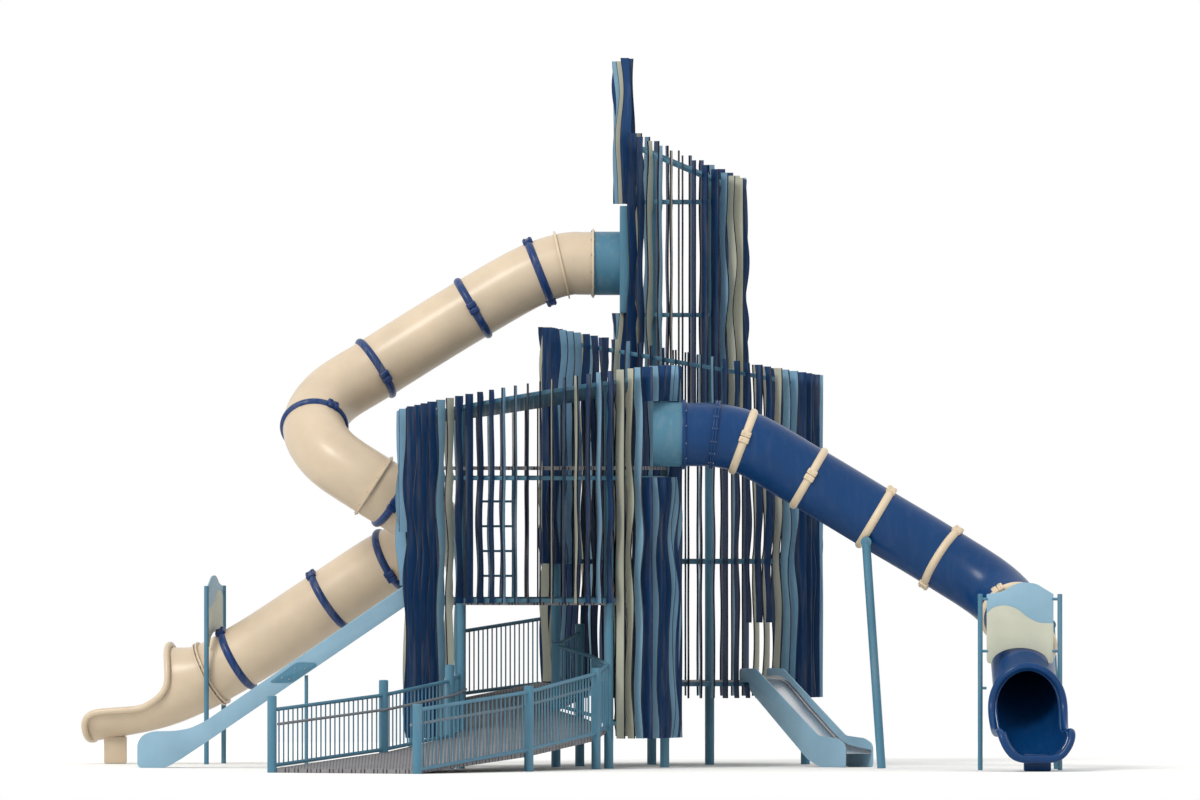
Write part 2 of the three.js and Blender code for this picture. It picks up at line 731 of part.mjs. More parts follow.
// Blue tube slide: away from the front tower to the right, then round towards the entrance side
const BLUE_Y = -700;
const blueCurve = curveThrough([
  [1800, BLUE_Y, 4085],
  [1950, BLUE_Y, 4085],
  [2100, BLUE_Y, 4085],
  [2504, BLUE_Y, 4000],
  [3306, BLUE_Y, 3550],
  [4118, BLUE_Y, 3064],
  [4938, BLUE_Y, 2573],
  [5600, BLUE_Y - 260, 2130],
  [5880, BLUE_Y - 900, 1740],
  [5905, BLUE_Y - 1600, 1330],
  [5930, BLUE_Y - 2300, 960],
  [5985, BLUE_Y - 3200, 560],
  [6060, BLUE_Y - 3700, 520],
]);
const blueSleeveEnds = [
  [1399, BLUE_Y, 4085],
  [1800 - GAP, BLUE_Y, 4085],
];
addPiece("blue_slide_sleeve", straightSleeve(...blueSleeveEnds), "teal");
const blueShare = (x, y, z) => shareNear(blueCurve, [x, y, z]);
const blueJoints = {
  top: blueShare(2504, BLUE_Y, 4000),
  bend: blueShare(4938, BLUE_Y, 2573),
  end: blueShare(5930, BLUE_Y - 2300, 960),
};
const blueSections = [
  ["blue_slide_entry", 0, blueJoints.top, 4, [0.001, blueShare(2232, BLUE_Y, 4070)]],
  ["blue_slide_straight_run", blueJoints.top, blueJoints.bend, 1,
    [blueJoints.top, blueShare(3306, BLUE_Y, 3550), blueShare(4118, BLUE_Y, 3064)]],
  ["blue_slide_bend", blueJoints.bend, blueJoints.end, 8,
    [blueJoints.bend, blueShare(5820, BLUE_Y - 600, 1900), blueJoints.end]],
];
for (const [name, from, to, steps, collars] of blueSections) {
  sections[name] = { curve: blueCurve, from, to, steps, collars };
  addPiece(name, slideSection(sections[name]), "blue");
}
addPiece("blue_slide_run_out", runOut(blueCurve, blueJoints.end, 5895, 6226, -4050, -3800), "blue");

// Exit panels: two posts with an arched sheet between them, over the end of a tube slide
const EXIT_PANEL = { spacing: 970, postDiameter: 60, sheet: 18, halfWidth: 407 };
function exitPanel(x, y, turn, postTop, bottom, peak, bracketHeight, section) {
  const { spacing, postDiameter, sheet, halfWidth } = EXIT_PANEL;
  const outline = [];
  const arcSteps = 6;
  for (let i = 0; i <= arcSteps; i += 1) {
    const angle = Math.PI - (Math.PI * i) / arcSteps;
    outline.push([halfWidth * Math.cos(angle), postTop - 40 + (peak - postTop + 40) * Math.sin(angle)]);
  }
  outline.push([halfWidth, bottom]);
  for (let i = 0; i <= arcSteps; i += 1) {
    const angle = (Math.PI * i) / arcSteps;
    outline.push([(halfWidth - 15) * Math.cos(angle), bottom + 190 * Math.sin(angle)]);
  }
  outline.push([-halfWidth, bottom]);
  const parts = [plateXZ(outline, -sheet / 2, sheet / 2)];
  for (const side of [-1, 1]) {
    const post = (side * spacing) / 2;
    parts.push(upright(post, 0, 0, postTop, postDiameter, 8));
    for (const z of [bottom + 150, postTop - 60]) {
      const inner = Math.min(Math.abs(post) - 10, halfWidth - 20);
      const ends = [side * inner, side * (Math.abs(post) - 5)].sort((a, b) => a - b);
      parts.push(box(ends[0], ends[1], -20, 20, z - 25, z + 25));
    }
  }
  for (const side of [-1, 1]) {
    const ends = [(side * spacing) / 2, (side * spacing) / 3].sort((a, b) => a - b);
    parts.push(box(ends[0], ends[1], -15, 15, bracketHeight - 30, bracketHeight + 30));
  }
  const panel = join(parts).rotate([0, 0, turn]).translate([x, y, 0]);
  return panel.subtract(slideEnvelope(section));
}
addPiece(
  "blue_slide_exit_panel",
  exitPanel(5865, -2880, 0, 2144, 1300, 2286, 1000, sections.blue_slide_bend),
  "paleBoards",
);
addPiece(
  "beige_slide_exit_panel",
  exitPanel(-4020, 3540, -102, 2205, 1450, 2335, 1160, sections.beige_slide_lower_run),
  "paleBoards",
);

// Leaning poles that carry the blue slide, cut to its underside
const POLE_DIAMETER = 108;
function pole(foot, head, section) {
  const lean = bar(foot, head, POLE_DIAMETER, 8);
  const above = solid(box(-9000, 9000, -9000, 9000, 0, 9000));
  return solid(lean).intersect(above).subtract(slideEnvelope(section));
}
addPiece(
  "blue_slide_pole_upper",
  pole([4196, BLUE_Y - 330, -30], [3996, BLUE_Y - 330, 2915], sections.blue_slide_straight_run),
  "teal",
);
addPiece(
  "blue_slide_pole_lower",
  pole([6349, -1500, -30], [6255, -1500, 1800], sections.blue_slide_bend),
  "teal",
);

// Open straight slide on the left: two side boards and a bed, as one moulding
const FLAT_SLIDE = { near: -468, far: -54.7, board: 24 };
const flatSlideTop = [
  [-1500, 2338],
  [-4094, 568],
  [-4280, 480],
  [-4459, 448],
  [-4741, 442],
  [-4860, 400],
  [-4923, 301],
  [-4923, 0],
];
const flatSlideUnder = [
  [-4572, 0],
  [-4380, 110],
  [-4094, 301],
  [-1590, 2010],
  [-1590, FRONT_LANDING_TOP + GAP],
  [-1500, FRONT_LANDING_TOP + GAP],
];
function flatSlide() {
  const { near, far, board: thickness } = FLAT_SLIDE;
  const outline = [...flatSlideTop, ...flatSlideUnder];
  const bedLine = [
    [-1500, 2072],
    [-1600, 2072],
    [-4094, 361],
    [-4459, 200],
    [-4880, 180],
  ];
  const left = bedLine.map(([x, z]) => [x, near + 5, z]);
  const right = bedLine.map(([x, z]) => [x, far - 5, z]);
  const boards = [
    plateXZ(outline, near, near + thickness),
    plateXZ(outline, far - thickness, far),
  ];
  return join(boards).add(solid(strip(left, right, 20)));
}
addPiece("flat_slide", flatSlide(), "paleBoards");

// Steel slide off the mid tower, drawn along a radius of the tower and turned into place
const METAL_SIDE = [
  [1560, 1200],
  [1900, 1200],
  [3236, 384],
  [3635, 355],
  [3770, 300],
  [3806, 245],
  [3806, 0],
  [3270, 0],
  [3007, 93],
  [1778, 931],
  [1769, MID_DECK_TOP + GAP],
  [1560, MID_DECK_TOP + GAP],
];
function metalSlide() {
  const half = METAL_SLIDE_WIDTH / 2;
  const bedLine = [
    [1560, 1052],
    [1900, 1052],
    [3236, 250],
    [3500, 200],
    [3790, 170],
  ];
  const left = bedLine.map(([r, z]) => [r, half - 5, z]);
  const right = bedLine.map(([r, z]) => [r, 5 - half, z]);
  const sides = [
    plateXZ(METAL_SIDE, -half, -half + 20),
    plateXZ(METAL_SIDE, half - 20, half),
  ];
  const whole = join(sides).add(solid(strip(left, right, 12)));
  return whole.rotate([0, 0, METAL_SLIDE_ANGLE]).translate([MID_TOWER.x, MID_TOWER.y, 0]);
}
addPiece("metal_slide", metalSlide(), "steel");

// Ramp: three lengths of deck between railings that curve into and through the front tower
const RAMP_THICKNESS = 50;
const RAIL_INSET = 29;
const rampPosts = {
  left: [
    [-3219, -5251, 931],
    [-1884, -3195, 1102],
    [-1088, -1563, 1274],
  ],
  right: [
    [-1455, -6468, 845],
    [-114, -4145, 1041],
    [701, -1906, 1237],
  ],
  inner: [
    [208, 262, 1531],
    [500, 1186, 1752],
  ],
};
const rampPostCutters = Object.values(rampPosts)
  .flat()
  .map(([x, y]) => postCutter(x, y, 270));
function rampDeck(left, right) {
  const cutters = [...frontCutters, ...midCutters, ...rampPostCutters];
  return wasm.Manifold.difference([solid(strip(left, right, RAMP_THICKNESS)), ...cutters]);
}
const RAMP_RISE = [RAMP_THICKNESS, 225, 390, 480];
const inset = (shift) => ([x, y], i) => [x + shift, y, RAMP_RISE[i]];
const lowerLeft = [...rampPosts.left, [-959, -1250]].map(inset(RAIL_INSET));
const lowerRight = [...rampPosts.right, [852, -1330]].map(inset(-RAIL_INSET));
addPiece("ramp_lower_deck", rampDeck(lowerLeft, lowerRight), "deck");
addPiece(
  "ramp_middle_deck",
  rampDeck(
    [[-930, -1249.4, 480], [-934, -600, 565], [-934, 262, 705], [-900, 1250, 850]],
    [[823, -1329.4, 480], [600, -240, 590], [176, 262, 715], [468, 1186, 850]],
  ),
  "deck",
);
const midTowerDrum = solid(upright(MID_TOWER.x, MID_TOWER.y, -100, 3000, 2 * SCREEN_RADIUS + 4, 48));
addPiece(
  "ramp_upper_deck",
  rampDeck(
    [[-900, 1250.6, 850], [60, 2800, 1028]],
    [[468, 1186.6, 850], [508, 1860, 1028]],
  ).subtract(midTowerDrum),
  "deck",
);

const station = (x, y, low, high) => ({ x, y, low, high });
const towerPostCutters = wasm.Manifold.union([...frontCutters, ...midCutters]);
function rampRailing(name, stations, posts = []) {
  addPiece(name, railing(stations, posts).subtract(towerPostCutters), "teal");
}
rampRailing(
  "ramp_left_railing",
  [
    station(-3219, -5251, 61, 735),
    station(-1884, -3195, 233, 894),
    station(-1088, -1563, 380, 1053),
    station(-965, -1225, 416, 1127),
  ],
  rampPosts.left,
);
rampRailing(
  "ramp_right_railing",
  [
    station(-1455, -6468, 24, 747),
    station(-114, -4145, 245, 943),
    station(701, -1906, 416, 1144),
    station(852, -1300, 514, 1250),
  ],
  rampPosts.right,
);
rampRailing("ramp_inner_left_railing", [
  station(-959, -1190, 500, 1200),
  station(-959, 1190, 850, 1590),
]);
rampRailing(
  "ramp_inner_right_railing",
  [
    station(850, -1260, 520, 1250),
    station(640, -240, 620, 1341),
    station(208, 262, 740, 1470),
    station(500, 1186, 870, 1617),
    station(535, 1760, 960, 1690),
  ],
  rampPosts.inner,
);
rampRailing("ramp_back_railing", [
  station(-942, 1238, 870, 1637),
  station(2, 2770, 980, 1776),
]);

// The plan is set out from the foot of the left entrance post
const origin = frontPosts[0];
site.position.set(-origin.x, -origin.y, 0);

export default structure;
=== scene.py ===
# %% [markdown]
# # A playground play structure, finished in Blender
# Three round towers clad in upright boards stand on steel posts. A ramp curves into the front
# tower, and two tube slides and two open slides lead down from the towers. The frame brings in
# the measured CAD pieces; this lesson replaces the plain ones with finished pieces at the same
# places and sizes. Everything is in metres, +Z is up, and the camera looks along +Y at the
# entrance side.

# %% Load the frame
import math
import random

import bpy
import numpy as np
from mathutils import Matrix, Vector


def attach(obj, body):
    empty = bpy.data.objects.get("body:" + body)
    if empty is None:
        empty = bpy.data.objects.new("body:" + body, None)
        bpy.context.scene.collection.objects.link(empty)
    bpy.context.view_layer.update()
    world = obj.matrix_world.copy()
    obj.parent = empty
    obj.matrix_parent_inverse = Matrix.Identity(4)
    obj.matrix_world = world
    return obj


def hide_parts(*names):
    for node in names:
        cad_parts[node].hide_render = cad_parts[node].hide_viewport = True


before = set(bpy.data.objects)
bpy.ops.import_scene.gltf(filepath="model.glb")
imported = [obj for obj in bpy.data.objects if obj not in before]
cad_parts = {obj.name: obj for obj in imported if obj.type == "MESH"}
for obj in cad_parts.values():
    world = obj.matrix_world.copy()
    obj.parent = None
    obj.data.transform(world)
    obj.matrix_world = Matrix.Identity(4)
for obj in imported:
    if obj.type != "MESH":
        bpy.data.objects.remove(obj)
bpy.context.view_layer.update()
print("CAD nodes:", len(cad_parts))

# %% [markdown]
# ## Setting out
# The plan is drawn from the axis of the front tower in millimetres, as the CAD is, and every
# point is then moved so that the left entrance post stands at the origin. One small function
# does that move, so that a size can be read straight off the drawing. A table for each tower
# gives its axis, the radius of its boards' outer edges, the height of their tops at the axis and
# their slope, how far the top ring lies below them, the level rings, and the boards' foot,
# number and turn.

# %% Setting out
MM = 0.001
POST_CIRCLE = 1543.6
ENTRANCE_LEFT_ANGLE = 231.6
AXIS_X = -POST_CIRCLE * math.cos(math.radians(ENTRANCE_LEFT_ANGLE))
AXIS_Y = -POST_CIRCLE * math.sin(math.radians(ENTRANCE_LEFT_ANGLE))
POST_DIAMETER = 114.0
BOARD_THICKNESS = 20.0
BOARD_DEPTH = 164.0
SCREEN_RADIUS = 1766.0
RING_BAR = 50.0

FRONT = dict(
    axis=(0.0, 0.0), radius=SCREEN_RADIUS, height=4649.0, slope_x=0.163, slope_y=-0.05,
    drop=138.0, rings=(551.0, 2058.0, 3552.0), foot=367.0, boards=70, turn=0.6,
)
MID = dict(
    axis=(1748.0, 3100.0), radius=SCREEN_RADIUS, height=5114.0, slope_x=-0.177, slope_y=0.0,
    drop=144.0, rings=(1004.0, 2511.0, 4018.0), foot=833.0, boards=68, turn=3.1,
)
TALL = dict(
    axis=MID["axis"], radius=857.0, height=7566.0, slope_x=-0.426, slope_y=0.036,
    drop=158.0, rings=(4150.0, 5560.0, 6958.0), foot=4040.0, boards=34, turn=1.6,
)


def at(x, y, z):
    """A point of the drawing, in millimetres from the front tower's axis, in metres here."""
    return Vector(((x + AXIS_X) * MM, (y + AXIS_Y) * MM, z * MM))


def plan_point(origin, turn, along, across=0.0):
    """A place in plan, measured along and across a direction; 270 degrees is the camera's side."""
    angle = math.radians(turn)
    x = origin[0] + along * math.cos(angle) - across * math.sin(angle)
    y = origin[1] + along * math.sin(angle) + across * math.cos(angle)
    return x, y


def top_plane(tower, radius, angle):
    """How high the sloping tops of a tower's boards are at a radius and an angle."""
    turn = math.radians(angle)
    rise_x = tower["slope_x"] * radius * math.cos(turn)
    return tower["height"] + rise_x + tower["slope_y"] * radius * math.sin(turn)


print("front tower axis at", [round(v, 3) for v in at(0, 0, 0)])

# %% [markdown]
# ## Making and handing over pieces
# Blender's operators work on whatever is selected, so each piece starts with nothing selected.
# Pieces that only numbers can place well, such as boards that wave, start as a mesh from points.
# Both kinds end in one function that lays the piece's place into its mesh, gives it its
# material and hides the CAD nodes that it stands for.

# %% Making and handing over pieces
MERGE_DISTANCE = 0.00002
BEVEL_FROM = 40


def deselect():
    bpy.ops.object.select_all(action="DESELECT")


def mesh_object(name, points, faces):
    """An object from points in metres and faces that list them."""
    mesh = bpy.data.meshes.new(name)
    mesh.from_pydata([tuple(p) for p in points], [], faces)
    mesh.update()
    made = bpy.data.objects.new(name, mesh)
    bpy.context.scene.collection.objects.link(made)
    return made


def choose(obj):
    """Makes one object the only selected and active one."""
    deselect()
    obj.select_set(True)
    bpy.context.view_layer.objects.active = obj


def apply_modifiers(obj):
    choose(obj)
    for modifier in list(obj.modifiers):
        bpy.ops.object.modifier_apply(modifier=modifier.name)


def rounded(obj, width, segments=2):
    """Small rounded edges, as on sawn, moulded or welded pieces."""
    bevel = obj.modifiers.new("edges", "BEVEL")
    bevel.width = width * MM
    bevel.segments = segments
    bevel.limit_method = "ANGLE"
    bevel.angle_limit = math.radians(BEVEL_FROM)
    apply_modifiers(obj)
    return obj


def settle(obj):
    """Lays the object's place into its mesh, with the object itself at the origin."""
    choose(obj)
    bpy.ops.object.transform_apply(location=True, rotation=True, scale=True)
    return obj


def joined(objects):
    """Several objects made one, with each one's place in the mesh."""
    for obj in objects:
        settle(obj)
    deselect()
    for obj in objects:
        obj.select_set(True)
    bpy.context.view_layer.objects.active = objects[0]
    if len(objects) > 1:
        bpy.ops.object.join()
    return bpy.context.view_layer.objects.active


def outward(obj):
    """Turns every face outwards, after doubled points are merged."""
    choose(obj)
    bpy.ops.object.mode_set(mode="EDIT")
    bpy.ops.mesh.select_all(action="SELECT")
    bpy.ops.mesh.remove_doubles(threshold=MERGE_DISTANCE)
    bpy.ops.mesh.normals_make_consistent(inside=False)
    bpy.ops.object.mode_set(mode="OBJECT")
    return obj


def cylinder(radius, depth, place, sides, turn=(0, 0, 0)):
    """A cylinder with its sizes in millimetres and its place in metres."""
    deselect()
    bpy.ops.mesh.primitive_cylinder_add(
        vertices=sides, radius=radius * MM, depth=depth * MM, location=place, rotation=turn
    )
    return settle(bpy.context.object)


def cube(place, sizes, turn=(0, 0, 0)):
    """A box with its three sizes in millimetres and its place in metres."""
    deselect()
    bpy.ops.mesh.primitive_cube_add(size=1, location=place, rotation=turn)
    box = bpy.context.object
    box.scale = [size * MM for size in sizes]
    return settle(box)


def thickened(obj, thickness):
    """Gives a flat piece its thickness, half to each side."""
    solidify = obj.modifiers.new("thickness", "SOLIDIFY")
    solidify.thickness = thickness * MM
    solidify.offset = 0
    apply_modifiers(obj)
    return outward(obj)


def cut_sheet(points, thickness, ease, material):
    """A board or sheet from its outline: filled, thickened and eased."""
    sheet = thickened(mesh_object("sheet", points, [tuple(range(len(points)))]), thickness)
    sheet.data.materials.append(material)
    return rounded(sheet, ease)


def hand_over(obj, name, material, nodes=(), smooth=35):
    """The last step of each piece. Its material is None where its parts already have theirs."""
    settle(obj)
    obj.name = name
    obj.data.name = name
    if material:
        obj.data.materials.append(material)
    bpy.ops.object.shade_smooth_by_angle(angle=math.radians(smooth))
    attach(obj, "root")
    if nodes:
        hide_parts(*nodes)
    print(name, len(obj.data.polygons), "faces")


# %% [markdown]
# ## One weathering effect for every finish
# Outdoor paint and plastic fade unevenly, gather dust in streaks and lose their even sheen. That
# is the same effect on every piece, only stronger or weaker, so it is one node group with named
# inputs. It puts out a colour, a roughness and a height, and the shader stays in each material.
# A few short functions add the nodes: each takes what goes into a node and gives what comes out.

# %% The weathering group
NOISE_ROUGHNESS = 0.55
NOISE_SPAN = (0.3, 0.7)
STREAK_STRETCH = (9.0, 9.0, 0.7)
CLOUD_SCALE = 1.7
STREAK_SCALE = 1.6
DUST_FROM, DUST_FULL = 0.48, 0.72
DUST_DULLS = 0.5
ROUGHNESS_SWING = 0.06


def feed(tree, into, value):
    """Links an input to another node's output, or sets it where a plain value is given."""
    if isinstance(value, bpy.types.NodeSocket):
        tree.links.new(value, into)
    else:
        into.default_value = value


def added(tree, kind, inputs, **settings):
    """Adds a node with its settings and inputs, and gives its outputs."""
    node = tree.nodes.new(kind)
    for name, value in settings.items():
        setattr(node, name, value)
    for place, value in inputs.items():
        feed(tree, node.inputs[place], value)
    return node.outputs


def worked(tree, operation, *values, clamp=False):
    """One step of arithmetic on one or two values."""
    inputs = dict(enumerate(values))
    return added(tree, "ShaderNodeMath", inputs, operation=operation, use_clamp=clamp)[0]


def mixed(tree, factor, first, second):
    """A mix of two colours, which go into the node's inputs 6 and 7."""
    inputs = {0: factor, 6: first, 7: second}
    return added(tree, "ShaderNodeMix", inputs, data_type="RGBA", clamp_factor=True)[2]


def noise(tree, vector, scale, detail):
    inputs = {"Vector": vector, "Scale": scale, "Detail": detail, "Roughness": NOISE_ROUGHNESS}
    return added(tree, "ShaderNodeTexNoise", inputs)[0]


def band(tree, value, low, high, to_low=0.0, to_high=1.0):
    """Spreads what lies between low and high over another range."""
    return added(tree, "ShaderNodeMapRange", {
        "Value": value, "From Min": low, "From Max": high, "To Min": to_low, "To Max": to_high,
    })[0]


def brightened(tree, colour, value):
    return added(tree, "ShaderNodeHueSaturation", {"Color": colour, "Value": value})[0]


def new_group(name, inputs, outputs):
    """A node group whose inputs are numbers or colours by their default."""
    group = bpy.data.node_groups.new(name, "ShaderNodeTree")
    for label, value in inputs.items():
        kind = "NodeSocketFloat" if isinstance(value, float) else "NodeSocketColor"
        made = group.interface.new_socket(name=label, in_out="INPUT", socket_type=kind)
        made.default_value = value
    for label in outputs:
        kind = "NodeSocketColor" if label == "Colour" else "NodeSocketFloat"
        group.interface.new_socket(name=label, in_out="OUTPUT", socket_type=kind)
    return group


def weathering_group():
    group = new_group("weathering", {
        "Colour": (0.5, 0.5, 0.5, 1.0), "Dust Colour": (0.42, 0.4, 0.36, 1.0), "Fading": 0.1,
        "Dust": 0.2, "Roughness": 0.5, "Grain Scale": 120.0,
    }, ("Colour", "Roughness", "Height"))
    given = group.nodes.new("NodeGroupInput").outputs
    where = group.nodes.new("ShaderNodeTexCoord").outputs["Object"]
    streaked = added(group, "ShaderNodeMapping", {"Vector": where, "Scale": STREAK_STRETCH})[0]
    cloud = noise(group, where, CLOUD_SCALE, detail=3.0)
    streak = noise(group, streaked, STREAK_SCALE, detail=4.0)
    grain = noise(group, where, given["Grain Scale"], detail=2.0)
    fade = worked(group, "MULTIPLY", band(group, cloud, *NOISE_SPAN, -1.0, 1.0), given["Fading"])
    faded = brightened(group, given["Colour"], worked(group, "ADD", fade, 1.0))
    dusty = worked(group, "MULTIPLY", band(group, streak, DUST_FROM, DUST_FULL), given["Dust"])
    rough = band(group, grain, *NOISE_SPAN, -ROUGHNESS_SWING, ROUGHNESS_SWING)
    rough = worked(group, "ADD", rough, given["Roughness"])
    dull = worked(group, "MULTIPLY", dusty, DUST_DULLS)
    out = group.nodes.new("NodeGroupOutput").inputs
    feed(group, out["Colour"], mixed(group, dusty, faded, given["Dust Colour"]))
    feed(group, out["Roughness"], worked(group, "ADD", rough, dull, clamp=True))
    feed(group, out["Height"], grain)
    return group


WEATHERING = weathering_group()
print("weathering inputs:", [s.name for s in WEATHERING.interface.items_tree][:6])

# %% [markdown]
# ## Round holes in a grid
# The decks are rubber-coated steel plate with punched holes. The holes are small and number
# thousands, so on the decks they are a pattern in the finish: a grid of round dots, worked out
# from where a point is in plan, which darkens the colour and sinks the bump.

# %% The punched-hole group


def hole_group():
    group = new_group("punched_holes", {"Holes per Metre": 24.0, "Hole Radius": 0.25}, ("Hole",))
    given = group.nodes.new("NodeGroupInput").outputs
    where = group.nodes.new("ShaderNodeTexCoord").outputs["Object"]
    apart = added(group, "ShaderNodeSeparateXYZ", {0: where})
    squares = []
    for axis in ("X", "Y"):
        share = worked(group, "MULTIPLY", apart[axis], given["Holes per Metre"])
        share = worked(group, "SUBTRACT", worked(group, "FRACT", share), 0.5)
        squares.append(worked(group, "MULTIPLY", share, share))
    off = worked(group, "SQRT", worked(group, "ADD", *squares))
    out = group.nodes.new("NodeGroupOutput").inputs
    feed(group, out["Hole"], worked(group, "LESS_THAN", off, given["Hole Radius"]))
    return group


PUNCHED_HOLES = hole_group()
print("punched-hole group made")

# %% [markdown]
# ## The finishes
# Each finish is a Principled shader fed by the weathering group. Colours are given as they look
# on a screen and turned into the linear values that shaders use. Boards also read a number that
# each board carries, so that no two boards are quite the same shade, and decks read the holes.

# %% The finishes
HOLE_COLOUR = (0.012, 0.012, 0.014, 1.0)
COAT_ROUGHNESS = 0.15
BUMP_DISTANCE = 0.004


def screen_colour(red, green, blue):
    """A colour as seen on a screen, 0 to 255, as the linear values of a shader."""
    linear = []
    for part in (red, green, blue):
        share = part / 255
        linear.append(share / 12.92 if share <= 0.04045 else ((share + 0.055) / 1.055) ** 2.4)
    return (*linear, 1.0)


def finish(name, colour, roughness, metallic=0.0, coat=0.0, fading=0.08, dust=0.15,
           grain=120.0, bump=0.08, shades=0.0, holes=0.0, shine=0.4):
    """A material; its colour is as on a screen, shades is for boards and holes for decks."""
    material = bpy.data.materials.new(name)
    material.use_nodes = True
    tree = material.node_tree
    weathered = added(tree, "ShaderNodeGroup", {
        "Colour": screen_colour(*colour), "Fading": fading, "Dust": dust, "Roughness": roughness,
        "Grain Scale": grain,
    }, node_tree=WEATHERING)
    seen, height = weathered["Colour"], weathered["Height"]
    if shades:
        carried = added(tree, "ShaderNodeAttribute", {}, attribute_name="shade")["Fac"]
        seen = brightened(tree, seen, band(tree, carried, 0.0, 1.0, 1.0 - shades, 1.0 + shades))
    if holes:
        hole = added(tree, "ShaderNodeGroup", {"Holes per Metre": holes}, node_tree=PUNCHED_HOLES)[0]
        seen = mixed(tree, hole, seen, HOLE_COLOUR)
        height = worked(tree, "SUBTRACT", height, hole)
    relief = {"Strength": bump, "Distance": BUMP_DISTANCE, "Height": height}
    shader = {
        "Base Color": seen, "Roughness": weathered["Roughness"], "Metallic": metallic,
        "Coat Weight": coat, "Coat Roughness": COAT_ROUGHNESS, "Specular IOR Level": shine,
        "Normal": added(tree, "ShaderNodeBump", relief)[0],
    }
    for label, value in shader.items():
        feed(tree, tree.nodes["Principled BSDF"].inputs[label], value)
    return material


teal_paint = finish("teal_paint", (70, 117, 140), 0.42, dust=0.12, shine=0.3)
board_faces = {
    "navy": finish("navy_board", (22, 58, 100), 0.5, shades=0.16, grain=60, shine=0.2),
    "light_blue": finish("light_blue_board", (118, 157, 182), 0.5, shades=0.08, grain=60, shine=0.2),
    "tan": finish("tan_board", (178, 179, 162), 0.52, shades=0.07, grain=60, shine=0.2),
}
board_core = finish("board_core", (16, 20, 36), 0.6, shades=0.2, grain=40, shine=0.15)
blue_plastic = finish("blue_plastic", (5, 54, 102), 0.32, coat=0.08, dust=0.02, grain=220, shine=0.2)
beige_plastic = finish("beige_plastic", (198, 180, 155), 0.38, coat=0.12, dust=0.06, grain=220)
navy_ring_paint = finish("navy_ring_paint", (14, 50, 102), 0.4, coat=0.1, shine=0.3)
tan_ring_paint = finish("tan_ring_paint", (206, 188, 160), 0.4, coat=0.1)
pale_blue_sheet = finish("pale_blue_sheet", (128, 163, 183), 0.45, grain=70, dust=0.06)
tan_sheet = finish("tan_sheet", (178, 180, 164), 0.48, grain=70, dust=0.06)
deck_coating = finish("deck_coating", (122, 121, 124), 0.75, grain=260, bump=0.3, holes=26.0)
slide_steel = finish(
    "slide_steel", (204, 206, 210), 0.3, metallic=1.0, dust=0.04, fading=0.03, bump=0.01
)
bolt_steel = finish("bolt_steel", (150, 152, 156), 0.35, metallic=1.0, dust=0.1)
grey_grip = finish("grey_grip", (112, 118, 124), 0.55, grain=200)
print("finishes:", len(bpy.data.materials))

# %% [markdown]
# ## Upright boards
# Each tower is clad in sawn plastic boards that stand like fins, one edge out. A board has
# coloured faces and a dark core that shows at its sawn edges, and its outer edge is cut to a
# long soft wave. A board could be a cube with an edge moved by hand, but there are 172 and
# every one differs, so a function works out one board's points: eight round its section, with
# small chamfers, at each of many heights. Boards of one colour on a tower become one piece.

# %% One board
CHAMFER = 2.0
WAVE_DEPTH = 74.0
WAVE_LENGTH = 1350.0
RIPPLE = 0.35
RIPPLE_RATE = 9.3
INNER_SHARE = 0.62
RING_GRIP = 150.0
STATION = 75.0
FACE_MARKS = (1, 1, 0, 1, 1, 1, 0, 1)


def grip(tower, z):
    """0 at a ring, where the inner edge is straight so that it can be screwed on, to 1 away from it."""
    top_ring = tower["height"] - tower["drop"]
    nearest = min(abs(z - ring) for ring in (*tower["rings"], top_ring))
    share = min(nearest / RING_GRIP, 1.0)
    return share * share * (3 - 2 * share)


def board_points(tower, angle, low, high, wave):
    """Points and faces of one board, with a mark on each face: 0 for its colour, 1 for its core."""
    depth, length, phase, inner_phase = wave
    steps = max(2, round((high - low) / STATION))
    half = BOARD_THICKNESS / 2
    points = []
    for i in range(steps + 1):
        z = low + (high - low) * i / steps
        ripple = RIPPLE * math.sin(phase + RIPPLE_RATE * z / length)
        swing = math.sin(phase + 2 * math.pi * z / length) + ripple
        outer = tower["radius"] - depth / 2 * (1 - swing / (1 + RIPPLE))
        swing = math.sin(inner_phase + 2 * math.pi * z / length)
        inner = tower["radius"] - BOARD_DEPTH + depth / 2 * INNER_SHARE * (1 + swing) * grip(tower, z)
        section = [
            (outer, -half + CHAMFER), (outer, half - CHAMFER), (outer - CHAMFER, half),
            (inner + CHAMFER, half), (inner, half - CHAMFER), (inner, -half + CHAMFER),
            (inner + CHAMFER, -half), (outer - CHAMFER, -half),
        ]
        for r, side in section:
            points.append(at(*plan_point(tower["axis"], angle, r, side), z))
    around = len(FACE_MARKS)
    faces = []
    marks = []
    for i in range(steps):
        for k in range(around):
            a = i * around + k
            b = i * around + (k + 1) % around
            faces.append((a, b, b + around, a + around))
            marks.append(FACE_MARKS[k])
    faces.append(tuple(range(around - 1, -1, -1)))
    faces.append(tuple(steps * around + k for k in range(around)))
    marks.extend((1, 1))
    return points, faces, marks


print("points in a short board:", len(board_points(FRONT, 270, 400, 700, (20, 900, 0, 0))[0]))

# %% [markdown]
# ## Where the boards are and what colour they are
# Colours follow the order round the tower: n for navy, l for light blue, t for tan, starting at
# the left end of the side that faces the camera. The far side is not seen, so its order is a
# plausible mix. Where boards pass a doorway, a slide or a portal they are split: each gap gives
# the angles between which it lies, the height where boards end below it, or None, and the
# height where they start again. Past the portal they rise to the spire, so their top is given too.

